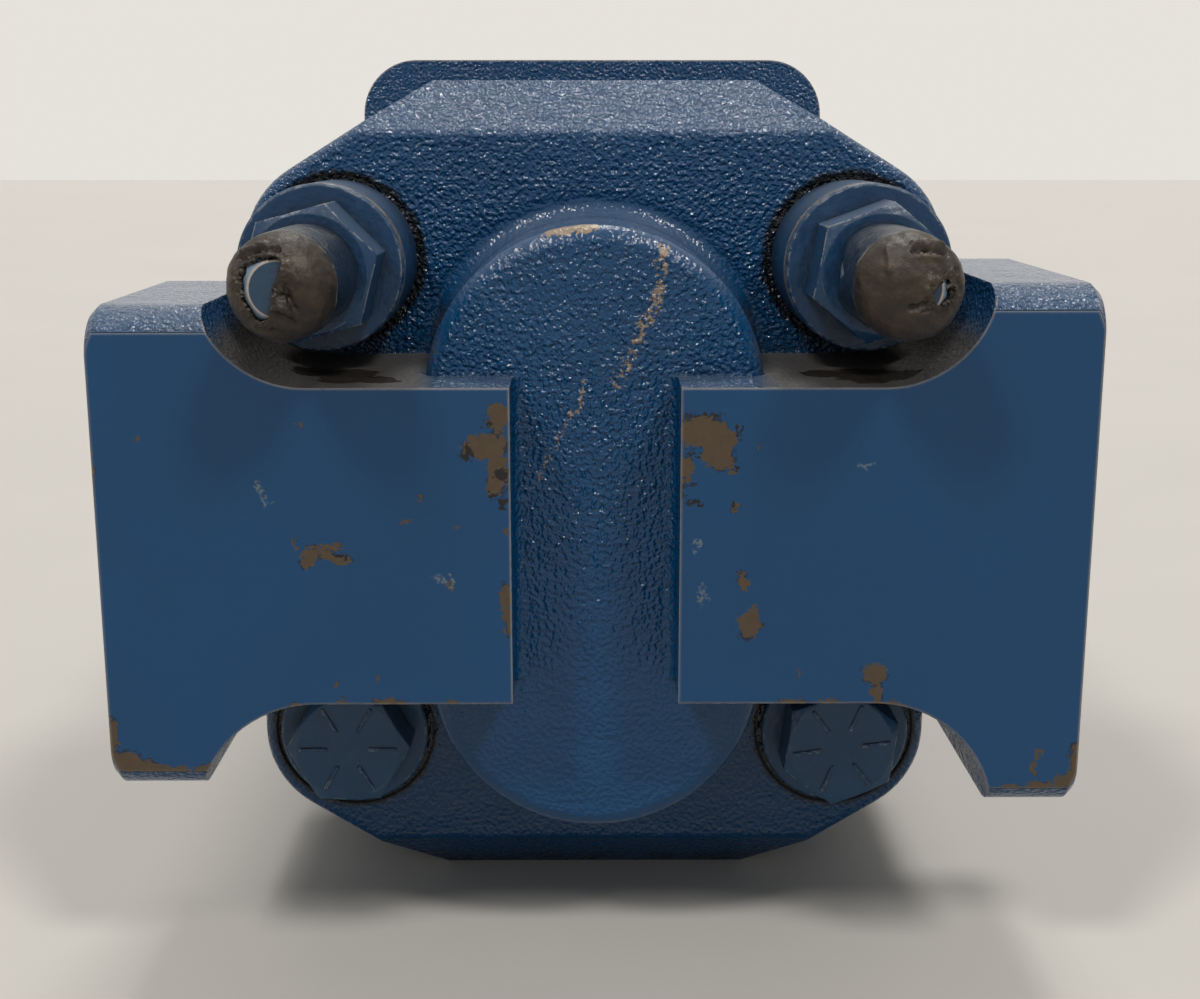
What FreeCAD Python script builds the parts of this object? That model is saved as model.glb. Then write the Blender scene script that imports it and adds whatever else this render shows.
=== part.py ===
import FreeCAD
import Part
import Sketcher
import os
import re
from FreeCAD import Placement, Rotation, Vector
from math import acos, atan2, cos, hypot, pi, radians, sin, sqrt, tan

# External gear pump: three bolted castings, a pair of shafts with their gears cut
# on them, and the bearings, seals and fasteners that go between.
# Frame: +Y along the drive shaft, out of the mounting face; +X and +Z as the photograph
# shows them from behind. The origin is the pilot's centre on the mounting face.
# "Behind" is a distance towards -Y from the mounting face.

SIZES = [
    # Gears and shafts
    ("gear_teeth", 12, "teeth on each gear"),
    ("gear_module", 4.7625, "pitch diameter over teeth"),
    ("pressure_angle", 25, "degrees"),
    ("gear_width", 63.5, "face width"),
    ("root_gap", 0.2, "root clearance in modules"),
    ("backlash", 0.12, "arc taken off each tooth"),
    ("tip_clearance", 0.08, "tooth tip to casing bore"),
    ("side_clearance", 0.05, "gear face to thrust plate"),
    ("journal_radius", 19.05, "both journals of both shafts"),
    ("running_gap", 0.04, "journal to bushing, seal lip to shaft"),
    ("journal_chamfer", 1.5, "at the shafts' ends"),
    ("key_end_radius", 15.875, "parallel shaft end"),
    ("shaft_reach", 55.6, "shaft end before the mounting face"),
    ("key_end_start", 8.2, "where the parallel end begins"),
    ("key_width", 7.94, "square key"),
    ("key_length", 38.1, "length of the key"),
    ("key_setback", 3.0, "key to the shaft's end"),
    ("key_side_gap", 0.02, "key to keyseat wall"),
    # Bushings and thrust plates
    ("bushing_radius", 25.4, "outside of a bushing"),
    ("bushing_length", 44.0, "length of a bushing"),
    ("seat_gap", 0.02, "pressed or screwed pieces"),
    ("pocket_spare", 3.5, "room past a bushing"),
    ("plate_thickness", 6.3, "thrust plate"),
    ("plate_gap", 0.06, "thrust plate to casing bore"),
    ("plate_hole_gap", 0.3, "thrust plate to journal"),
    ("relief_radius", 3.2, "trapping relief in a thrust plate"),
    ("relief_reach", 11.0, "relief from the shafts' plane"),
    ("relief_depth", 2.4, "relief into the plate"),
    # Outline that the three castings share, about the middle of the gear pair
    ("case_half_width", 75.5, "side faces"),
    ("case_half_height", 91.0, "top and bottom flats"),
    ("case_flat_half", 35.0, "half the top flat"),
    ("case_slant", 25.0, "drop of the shoulder from the flat to the side"),
    ("case_corner_radius", 21.0, "round corner outside each bolt"),
    ("case_edge", 0.9, "edge break at the joints"),
    ("bolt_half_x", 54.75, "half the bolt spacing across"),
    ("bolt_half_z", 53.5, "half the bolt spacing upwards"),
    ("bolt_radius", 7.9375, "studs and cap screws"),
    ("bolt_hole_radius", 8.35, "clearance hole"),
    ("bolt_engagement", 32.0, "thread in the shaft end cover"),
    ("thread_spare", 4.0, "hole past the thread"),
    # Shaft end cover
    ("front_cover_length", 105.0, "mounting face to the front joint"),
    ("front_plate", 45.0, "thickness of its bolted plate"),
    ("flange_thickness", 20.0, "square mounting flange"),
    ("flange_hole_spacing", 114.5, "square hole pattern"),
    ("flange_hole_radius", 7.15, "mounting hole"),
    ("flange_corner_radius", 17.5, "about each mounting hole"),
    ("pilot_radius", 63.5, "pilot on the mounting face"),
    ("pilot_length", 12.7, "height of the pilot"),
    ("pilot_chamfer", 1.5, "lead of the pilot"),
    ("neck_front_radius", 52.0, "neck behind the flange"),
    ("neck_rear_radius", 58.0, "neck at the plate"),
    ("neck_fillet", 5.0, "neck to flange and plate"),
    ("idler_boss_radius", 33.0, "over the driven shaft's pocket"),
    ("idler_boss_height", 14.0, "stands before the plate"),
    # Shaft bearing, seal and their rings
    ("bearing_outer_radius", 36.0, "ball bearing outside"),
    ("bearing_inner_radius", 17.5, "ball bearing bore"),
    ("bearing_width", 17.0, "ball bearing width"),
    ("bearing_back", 12.0, "rear face behind the mounting face"),
    ("bearing_round", 1.1, "corner of each ring"),
    ("ball_count", 9, "balls"),
    ("ball_radius", 5.556, "ball"),
    ("ball_gap", 0.06, "ball to raceway"),
    ("ring_thickness", 6.05, "each bearing ring at its shoulders"),
    ("cage_wall", 1.1, "half the cage's wall"),
    ("cage_half_width", 7.0, "half the cage's width"),
    ("cage_gap", 0.14, "ball to cage pocket"),
    ("seal_radius", 28.0, "outside of the lip seal"),
    ("seal_width", 10.0, "lip seal"),
    ("seal_bore_depth", 12.0, "seal bore behind the bearing"),
    ("seal_case_wall", 3.0, "outer wall of the lip seal"),
    ("seal_web", 2.4, "web of the lip seal"),
    ("lip_length", 7.2, "lip from the seal's front"),
    ("spring_radius", 1.0, "wire bundle of the garter spring"),
    ("spring_lift", 3.0, "spring's wire circle from the journal"),
    ("shaft_tunnel_radius", 21.5, "bore between bushing and seal"),
    ("inner_snap_thickness", 2.5, "ring in the bearing bore"),
    ("inner_snap_depth", 1.5, "its groove into the bore"),
    ("inner_snap_width", 4.6, "radial width of the ring"),
    ("outer_snap_thickness", 1.5, "ring on the shaft"),
    ("outer_snap_depth", 1.1, "its groove into the shaft"),
    ("outer_snap_width", 3.6, "radial width of the ring"),
    ("snap_gap_angle", 34.0, "degrees open in a snap ring"),
    ("snap_eye_angle", 6.0, "degrees from a snap ring's end to its eye"),
    ("snap_side_gap", 0.05, "ring to groove, each side"),
    # Joint seals and dowels
    ("joint_seal_land", 3.2, "casing bore to seal groove"),
    ("joint_seal_width", 3.0, "square section seal"),
    ("joint_seal_depth", 2.4, "groove depth"),
    ("joint_seal_gap", 0.05, "seal to groove walls"),
    ("dowel_radius", 4.0, "dowel pin"),
    ("dowel_half_length", 8.0, "in each casting"),
    ("dowel_x", 65.0, "dowel from the middle plane"),
    ("dowel_z", 32.0, "dowel above or below the middle"),
    ("dowel_end_gap", 0.2, "at each end of a dowel"),
    # Passages between the ports and the gears
    ("chamber_reach", 40.0, "centre of each side chamber"),
    ("chamber_radius", 15.0, "round end of a side chamber"),
    ("outlet_core_radius", 12.5, "core to the outlet side"),
    ("passage_end", 29.0, "inner end of a side passage"),
    # Port end cover
    ("rear_plate", 36.0, "rear joint to the bolting face"),
    ("bevel", 11.0, "bevel of the top and bottom edges"),
    ("cover_round", 2.4, "cast edge round the bolting face"),
    ("spotface_radius", 18.0, "under a washer or collar"),
    ("spotface_depth", 0.8, "spotface into the plate"),
    ("boss_height", 35.0, "bearing boss over the bolting face"),
    ("boss_wall", 8.5, "boss outside a bushing"),
    ("boss_fillet", 4.0, "foot of the boss"),
    ("boss_round", 2.8, "rim of the boss"),
    ("wing_height", 50.5, "port block face over the bolting face"),
    ("wing_inner", 16.2, "inner side of each port block"),
    ("wing_reach", 95.5, "port face from the middle plane"),
    ("wing_top", 33.0, "upper face beside the boss"),
    ("wing_bottom", 29.5, "lower face beside the boss"),
    ("wing_round", 10.0, "cast round before machining"),
    ("wing_allowance", 1.5, "machined off the wing faces"),
    ("wing_corner", 1.4, "edge break of each port face, above and below"),
    ("step_fillet", 2.2, "foot of the port blocks on the boss"),
    ("inlet_half_height", 52.0, "taller port block"),
    ("inlet_depth", 70.0, "from its rear face forwards"),
    ("inlet_radius", 25.4, "inlet port"),
    ("inlet_counterbore", 18.0, "full port bore before the passage"),
    ("inlet_passage_radius", 22.0, "inlet passage"),
    ("inlet_pitch_y", 42.9, "port bolt spacing along the shafts"),
    ("inlet_pitch_z", 77.8, "port bolt spacing upwards"),
    ("outlet_half_height", 48.0, "shorter port block"),
    ("outlet_depth", 59.0, "from its rear face forwards"),
    ("outlet_radius", 19.05, "outlet port"),
    ("outlet_counterbore", 18.0, "full port bore before the passage"),
    ("outlet_passage_radius", 17.0, "outlet passage"),
    ("outlet_pitch_y", 35.7, "port bolt spacing along the shafts"),
    ("outlet_pitch_z", 69.9, "port bolt spacing upwards"),
    ("port_thread_radius", 5.36, "drilled for the port bolts' thread"),
    ("port_thread_depth", 17.0, "depth of those holes"),
    # Fasteners of the castings
    ("washer_radius", 16.65, "outside of washers and collars"),
    ("washer_hole_radius", 8.6, "washer and collar bore"),
    ("washer_thickness", 2.8, "hardened washer"),
    ("collar_stand", 24.2, "collar over the bolting face"),
    ("collar_edge", 0.8, "chamfer of a collar"),
    ("nut_flats", 23.81, "across the flats of nuts and heads"),
    ("nut_height", 14.2, "hex nut"),
    ("head_height", 10.7, "hex head"),
    ("hex_chamfer", 2.0, "height of the corner chamfer"),
    ("hex_inset", 0.5, "chamfer circle inside the flats"),
    ("nut_gap", 0.03, "nut to stud"),
    ("stud_proud", 32.0, "stud past its nut"),
    ("stud_point_radius", 5.0, "flat end of a stud"),
    ("stud_point_length", 2.9, "chamfer of a stud's end"),
    ("left_nut_turn", 15.0, "degrees"),
    ("right_nut_turn", 10.0, "degrees"),
    ("left_head_turn", 30.0, "degrees"),
    ("right_head_turn", 7.0, "degrees"),
    # Soft caps on the stud ends
    ("cap_radius", 9.95, "outside of a cap"),
    ("cap_end_wall", 2.0, "end of a cap"),
    ("cap_round", 7.0, "round end of a cap"),
    ("cap_lift", 0.1, "cap to nut and to stud end"),
    ("tear_radius", 3.3, "torn window in the left cap"),
    ("tear_shift", 3.0, "window from the cap's axis"),
    ("slit_radius", 1.5, "torn slit in the right cap"),
    ("slit_shift", 5.2, "slit from the cap's axis"),
]

# Sizes that follow from the others
DERIVED = {
    "half_centres": "gear_teeth * gear_module / 2",
    "tip_radius": "half_centres + gear_module",
    "root_radius": "half_centres - gear_module * (1 + root_gap)",
    "case_shoulder": "case_half_height - case_slant",
    "case_bore": "tip_radius + tip_clearance",
    "housing_length": "gear_width + 2 * plate_thickness + 2 * side_clearance",
    "front_joint": "front_cover_length",
    "rear_joint": "front_joint + housing_length",
    "bolting_face": "rear_joint + rear_plate",
    "boss_face": "bolting_face + boss_height",
    "wing_face": "bolting_face + wing_height",
    "gear_front": "front_joint + plate_thickness + side_clearance",
    "gear_rear": "gear_front + gear_width",
    "journal_end": "rear_joint + bushing_length",
    "fastener_seat": "bolting_face - spotface_depth",
    "collar_top": "bolting_face + collar_stand",
    "nut_seat": "collar_top + washer_thickness",
    "nut_top": "nut_seat + nut_height",
    "stud_end": "nut_top + stud_proud",
    "head_seat": "fastener_seat + washer_thickness",
    "head_top": "head_seat + head_height",
    "thread_end": "front_joint - bolt_engagement",
    "inlet_y": "wing_face - inlet_depth / 2",
    "outlet_y": "wing_face - outlet_depth / 2",
    "seal_front": "bearing_back + (seal_bore_depth - seal_width) / 2",
    "ball_circle": "(bearing_outer_radius + bearing_inner_radius) / 2",
    "outer_race_shoulder": "bearing_outer_radius - ring_thickness",
    "inner_race_shoulder": "bearing_inner_radius + ring_thickness",
    "spring_circle": "journal_radius + spring_lift",
}

doc = FreeCAD.newDocument("gear_pump")
sheet = doc.addObject("Spreadsheet::Sheet", "Sizes")
for row, (alias, value, meaning) in enumerate(SIZES, start=1):
    sheet.set(f"A{row}", alias)
    sheet.set(f"B{row}", str(value))
    sheet.set(f"C{row}", meaning)
    sheet.setAlias(f"B{row}", alias)
ALIASES = {alias for alias, value, meaning in SIZES}
doc.recompute()


def bound(formula):
    """Write a formula of sizes out with the sheet's cells."""
    def cell(word):
        name = word.group(0)
        if name in DERIVED:
            return "(" + bound(DERIVED[name]) + ")"
        return "Sizes." + name if name in ALIASES else name
    return re.sub(r"[a-z_][a-z_0-9]*", cell, formula)


def number(formula):
    """The present value of a formula of sizes."""
    return float(sheet.evalExpression(bound(formula)))


def new_body(name, x="0", z="0", turn=None):
    """A body at x and z, turned by an angle about +Y."""
    body = doc.addObject("PartDesign::Body", name)
    body.Label = name
    angle = number(turn) if turn else 0
    spot = Vector(number(x), 0, number(z))
    body.Placement = Placement(spot, Rotation(Vector(0, 1, 0), angle))
    body.setExpression("Placement.Base.x", bound(x))
    body.setExpression("Placement.Base.z", bound(z))
    if turn:
        body.setExpression("Placement.Rotation.Angle", bound(turn))
    return body


def sketch_on(body, role, offset="0"):
    """A sketch on one of the body's origin planes, moved along its normal.

    On XZ_Plane the sketch shows X and Z, and its offset runs behind the mounting face.
    """
    sketch = body.newObject("Sketcher::SketchObject", body.Name + "_sketch")
    plane = next(item for item in body.Origin.OriginFeatures if item.Role == role)
    sketch.AttachmentSupport = (plane, [""])
    sketch.MapMode = "FlatFace"
    sketch.setExpression("AttachmentOffset.Base.z", bound(offset))
    return sketch


def pin_point(sketch, shape, end, x, y):
    """Bind one point of a sketch to two formulas."""
    for kind, formula, axis in (("DistanceX", x, -2), ("DistanceY", y, -1)):
        if formula == "0":
            sketch.addConstraint(Sketcher.Constraint("PointOnObject", shape, end, axis))
        else:
            rule = Sketcher.Constraint(kind, -1, 1, shape, end, number(formula))
            index = sketch.addConstraint(rule)
            sketch.setExpression(f"Constraints[{index}]", bound(formula))


def pin_radius(sketch, shape, radius):
    """Bind a circle's or arc's radius to a formula."""
    index = sketch.addConstraint(Sketcher.Constraint("Radius", shape, number(radius)))
    sketch.setExpression(f"Constraints[{index}]", bound(radius))


def draw_outline(sketch, points):
    """A closed outline. A point is (x, y), or (x, y, radius) where an arc goes on from
    it to the next point: left of the way for a positive sign, right for a negative one.
    """
    first = sketch.GeometryCount
    count = len(points)
    spots = [Vector(number(point[0]), number(point[1]), 0) for point in points]
    for index, point in enumerate(points):
        start = spots[index]
        finish = spots[(index + 1) % count]
        if len(point) == 2:
            sketch.addGeometry(Part.LineSegment(start, finish), False)
            continue
        sign = -1 if point[2].startswith("-") else 1
        radius = number(point[2].lstrip("-"))
        chord = finish - start
        side = Vector(-chord.y, chord.x, 0).normalize() * sign
        centre = (start + finish) * 0.5 + side * sqrt(radius**2 - (chord.Length / 2) ** 2)
        bulge = centre - side * radius
        sketch.addGeometry(Part.ArcOfCircle(start, bulge, finish), False)
    for index, point in enumerate(points):
        here = first + index
        after = first + (index + 1) % count
        begin, leave = vertex_order(point)
        meet = vertex_order(points[(index + 1) % count])[0]
        sketch.addConstraint(Sketcher.Constraint("Coincident", here, leave, after, meet))
        pin_point(sketch, here, begin, point[0], point[1])
        if len(point) == 3:
            pin_radius(sketch, here, point[2].lstrip("-"))


def vertex_order(point):
    """A curve's first and last vertex numbers: an arc to the right runs backwards."""
    backwards = len(point) == 3 and point[2].startswith("-")
    return (2, 1) if backwards else (1, 2)


def draw_circle(sketch, x, y, radius):
    """A circle whose centre and radius are formulas."""
    centre = Vector(number(x), number(y), 0)
    shape = sketch.addGeometry(Part.Circle(centre, Vector(0, 0, 1), number(radius)), False)
    pin_point(sketch, shape, 3, x, y)
    pin_radius(sketch, shape, radius)


def draw_belt(sketch, wheels):
    """The closed belt round some wheels (x, y, radius), taken anticlockwise."""
    first = sketch.GeometryCount
    count = len(wheels)
    discs = [(number(x), number(y), number(radius)) for x, y, radius in wheels]
    leave = []
    for index, (x, y, radius) in enumerate(discs):
        next_x, next_y, next_radius = discs[(index + 1) % count]
        way = atan2(next_y - y, next_x - x)
        leave.append(way - acos((radius - next_radius) / hypot(next_x - x, next_y - y)))
    for index, (x, y, radius) in enumerate(discs):
        next_x, next_y, next_radius = discs[(index + 1) % count]
        circle = Part.Circle(Vector(x, y, 0), Vector(0, 0, 1), radius)
        sketch.addGeometry(Part.ArcOfCircle(circle, leave[index - 1], leave[index]), False)
        normal = Vector(cos(leave[index]), sin(leave[index]), 0)
        start = Vector(x, y, 0) + normal * radius
        finish = Vector(next_x, next_y, 0) + normal * next_radius
        sketch.addGeometry(Part.LineSegment(start, finish), False)
    for index, (x, y, radius) in enumerate(wheels):
        arc = first + 2 * index
        line = arc + 1
        after = first + 2 * ((index + 1) % count)
        sketch.addConstraint(Sketcher.Constraint("Tangent", arc, 2, line, 1))
        sketch.addConstraint(Sketcher.Constraint("Tangent", line, 2, after, 1))
        pin_point(sketch, arc, 3, x, y)
        pin_radius(sketch, arc, radius)


def extrude(sketch, kind, length, forwards=False):
    """Pad or pocket a sketch on XZ_Plane, rearwards unless forwards is set."""
    body = sketch.getParentGeoFeatureGroup()
    feature = body.newObject("PartDesign::" + kind, sketch.Name + "_" + kind.lower())
    feature.Profile = sketch
    feature.setExpression("Length", bound(length))
    feature.Reversed = forwards if kind == "Pad" else not forwards
    return feature


def turn(sketch, kind):
    """Revolve a sketch on XY_Plane about the Y axis, as metal or as a groove."""
    body = sketch.getParentGeoFeatureGroup()
    feature = body.newObject("PartDesign::" + kind, sketch.Name + "_" + kind.lower())
    feature.Profile = sketch
    feature.ReferenceAxis = (sketch, ["V_Axis"])
    feature.Angle = 360
    return feature


def turned_body(name, profile, x="0", z="0", spin=None):
    """A turned piece from its half section of (radius, y) points."""
    body = new_body(name, x, z, spin)
    sketch = sketch_on(body, "XY_Plane")
    draw_outline(sketch, profile)
    turn(sketch, "Revolution")
    return body


def circles(body, offset, places, radius, kind, length, forwards=False):
    """Pad or pocket equal circles at some (x, z) places of one plane."""
    sketch = sketch_on(body, "XZ_Plane", offset)
    for x, z in places:
        draw_circle(sketch, x, z, radius)
    return extrude(sketch, kind, length, forwards)


def dress(base, kind, size, wanted):
    """Fillet or chamfer the edges of a feature that a test picks."""
    doc.recompute()
    names = [
        f"Edge{index}"
        for index, edge in enumerate(base.Shape.Edges, start=1)
        if wanted(edge.BoundBox)
    ]
    if not names:
        raise ValueError("no edge found for " + base.Name)
    feature = base.getParentGeoFeatureGroup().newObject("PartDesign::" + kind, base.Name + "_edge")
    feature.Base = (base, names)
    feature.setExpression("Radius" if kind == "Fillet" else "Size", bound(size))
    return feature


SLACK = 0.01


def near(value, formula):
    """True where a coordinate is at a formula's value."""
    return abs(value - number(formula)) < SLACK


def flat_at(box, behind):
    """True for an edge in the plane that lies so far behind the mounting face."""
    return near(box.YMin, f"-({behind})") and near(box.YMax, f"-({behind})")


def within(box, reach, top, bottom):
    """True for an edge inside a span of X each way and between two heights."""
    inside_x = max(box.XMax, -box.XMin) < number(reach) + SLACK
    return inside_x and box.ZMax < number(top) + SLACK and box.ZMin > number(bottom) - SLACK


BOLTS = [
    ("-bolt_half_x", "bolt_half_z - half_centres"),
    ("bolt_half_x", "bolt_half_z - half_centres"),
    ("-bolt_half_x", "-bolt_half_z - half_centres"),
    ("bolt_half_x", "-bolt_half_z - half_centres"),
]
DOWELS = [
    ("-dowel_x", "-dowel_z - half_centres"),
    ("dowel_x", "dowel_z - half_centres"),
]
SHAFTS = [("0", "0"), ("0", "-2 * half_centres")]


def casting(name, front, length):
    """The eight-sided plate that each casting starts from, with round bolt corners."""
    body = new_body(name)
    sketch = sketch_on(body, "XZ_Plane", front)
    quarter = [
        ("case_half_width", "case_shoulder"),
        ("case_flat_half", "case_half_height"),
    ]
    points = list(quarter)
    points += [("-" + x, z) for x, z in reversed(quarter)]
    points += [("-" + x, "-" + z) for x, z in quarter]
    points += [(x, "-" + z) for x, z in reversed(quarter)]
    draw_outline(sketch, [(x, z + " - half_centres") for x, z in points])
    plate = extrude(sketch, "Pad", length)

    def side_corner(box):
        at_side = near(box.XMax, "case_half_width") or near(box.XMin, "-case_half_width")
        return box.YLength > SLACK and at_side

    return body, dress(plate, "Fillet", "case_corner_radius", side_corner)


def joint_edges(feature, behind):
    """Break the outline's edge where a casting meets its neighbour."""
    return dress(feature, "Chamfer", "case_edge", lambda box: flat_at(box, behind))


# Shaft end cover: bolted plate, conical neck, square mounting flange and pilot in one
# casting. It holds the front bushings, the lip seal and the ball bearing.
def shaft_end_cover():
    body, plate = casting("shaft_end_cover", "front_joint - front_plate", "front_plate")
    joint_edges(plate, "front_joint")
    neck = sketch_on(body, "XY_Plane")
    draw_outline(neck, [
        ("0", "-flange_thickness"),
        ("neck_front_radius", "-flange_thickness"),
        ("neck_rear_radius", "front_plate - front_joint"),
        ("0", "front_plate - front_joint"),
    ])
    turn(neck, "Revolution")
    circles(body, "front_joint - front_plate", SHAFTS[1:], "idler_boss_radius", "Pad",
            "idler_boss_height", forwards=True)
    flange = sketch_on(body, "XZ_Plane")
    half = "flange_hole_spacing / 2"
    corners = [(half, "-" + half), (half, half), ("-" + half, half), ("-" + half, "-" + half)]
    draw_belt(flange, [(x, z, "flange_corner_radius") for x, z in corners])
    square = extrude(flange, "Pad", "flange_thickness")
    neck_reach = ("neck_front_radius", "neck_front_radius", "-neck_front_radius")
    dress(square, "Fillet", "neck_fillet",
          lambda box: flat_at(box, "flange_thickness") and within(box, *neck_reach))
    circles(body, "0", SHAFTS[:1], "pilot_radius", "Pad", "pilot_length", forwards=True)
    dress(body.Tip, "Chamfer", "pilot_chamfer", lambda box: flat_at(box, "-pilot_length"))
    bores = sketch_on(body, "XY_Plane")
    draw_outline(bores, [
        ("0", "pilot_length"),
        ("bearing_outer_radius + seat_gap", "pilot_length"),
        ("bearing_outer_radius + seat_gap", "-bearing_back"),
        ("seal_radius + seat_gap", "-bearing_back"),
        ("seal_radius + seat_gap", "-bearing_back - seal_bore_depth"),
        ("shaft_tunnel_radius", "-bearing_back - seal_bore_depth"),
        ("shaft_tunnel_radius", "bushing_length - front_joint"),
        ("bushing_radius + seat_gap", "bushing_length - front_joint"),
        ("bushing_radius + seat_gap", "-front_joint"),
        ("0", "-front_joint"),
    ])
    turn(bores, "Groove")
    ring = sketch_on(body, "XY_Plane")
    draw_outline(ring, [
        ("shaft_tunnel_radius", "bearing_width - bearing_back"),
        ("bearing_outer_radius + inner_snap_depth", "bearing_width - bearing_back"),
        ("bearing_outer_radius + inner_snap_depth",
         "bearing_width - bearing_back + inner_snap_thickness + 2 * snap_side_gap"),
        ("shaft_tunnel_radius", "bearing_width - bearing_back + inner_snap_thickness + 2 * snap_side_gap"),
    ])
    turn(ring, "Groove")
    circles(body, "front_joint", SHAFTS[1:], "bushing_radius + seat_gap", "Pocket",
            "bushing_length + pocket_spare", forwards=True)
    circles(body, "front_joint", BOLTS, "bolt_radius + seat_gap", "Pocket",
            "bolt_engagement + thread_spare", forwards=True)
    circles(body, "front_joint", DOWELS, "dowel_radius + seat_gap", "Pocket",
            "dowel_half_length", forwards=True)
    circles(body, "flange_thickness", corners, "flange_hole_radius", "Pocket",
            "flange_thickness", forwards=True)


# Gear housing: the middle casting. Two bores take the gears and thrust plates, and a
# chamber on each side of the mesh joins them to the passages behind.
def gear_housing():
    body, plate = casting("gear_housing", "front_joint", "housing_length")
    joint_edges(joint_edges(plate, "front_joint"), "rear_joint")
    for place in SHAFTS:
        circles(body, "rear_joint", [place], "case_bore", "Pocket", "housing_length", forwards=True)
    chambers = sketch_on(body, "XZ_Plane", "rear_joint")
    draw_belt(chambers, [
        ("-chamber_reach", "-half_centres", "chamber_radius"),
        ("chamber_reach", "-half_centres", "chamber_radius"),
    ])
    extrude(chambers, "Pocket", "housing_length", forwards=True)
    circles(body, "rear_joint", BOLTS, "bolt_hole_radius", "Pocket", "housing_length", forwards=True)
    for behind, forwards in (("rear_joint", True), ("front_joint", False)):
        circles(body, behind, DOWELS, "dowel_radius + seat_gap", "Pocket", "dowel_half_length", forwards)
        groove = sketch_on(body, "XZ_Plane", behind)
        draw_seal(groove, "joint_seal_gap")
        extrude(groove, "Pocket", "joint_seal_depth", forwards)


def draw_seal(sketch, slack):
    """Both edges of the joint seal's path, wider by the slack on each side."""
    for growth in (f"joint_seal_land - {slack}", f"joint_seal_land + joint_seal_width + {slack}"):
        draw_belt(sketch, [
            ("0", "-2 * half_centres", f"case_bore + {growth}"),
            ("chamber_reach", "-half_centres", f"chamber_radius + {growth}"),
            ("0", "0", f"case_bore + {growth}"),
            ("-chamber_reach", "-half_centres", f"chamber_radius + {growth}"),
        ])


def draw_wing(sketch, side, half_height):
    """A port block's outline: the wrench reliefs are arcs round the bolts."""
    upper = "(bolt_half_z - wing_top)"
    lower = "(bolt_half_z - wing_bottom)"
    rise = f"(bolt_half_z - {half_height})"
    upper_x = f"bolt_half_x + sqrt({upper} * {upper} - {rise} * {rise})"
    lower_x = f"bolt_half_x + sqrt({lower} * {lower} - {rise} * {rise})"
    points = [
        ("wing_inner", "-wing_bottom"),
        ("bolt_half_x", "-wing_bottom", "-" + lower),
        (lower_x, "-" + half_height),
        ("wing_reach", "-" + half_height),
        ("wing_reach", half_height),
        (upper_x, half_height, "-" + upper),
        ("bolt_half_x", "wing_top"),
        ("wing_inner", "wing_top"),
    ]
    if side == "-":
        points = mirrored(points)
    draw_outline(sketch, [(point[0], point[1] + " - half_centres") + point[2:] for point in points])


def mirrored(points):
    """An outline seen in the middle plane, still taken anticlockwise."""
    count = len(points)
    flipped = []
    for index in range(count):
        point = points[-index]
        arc = points[-index - 1][2:]
        flipped.append(("-(" + point[0] + ")", point[1]) + arc)
    return flipped


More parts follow.
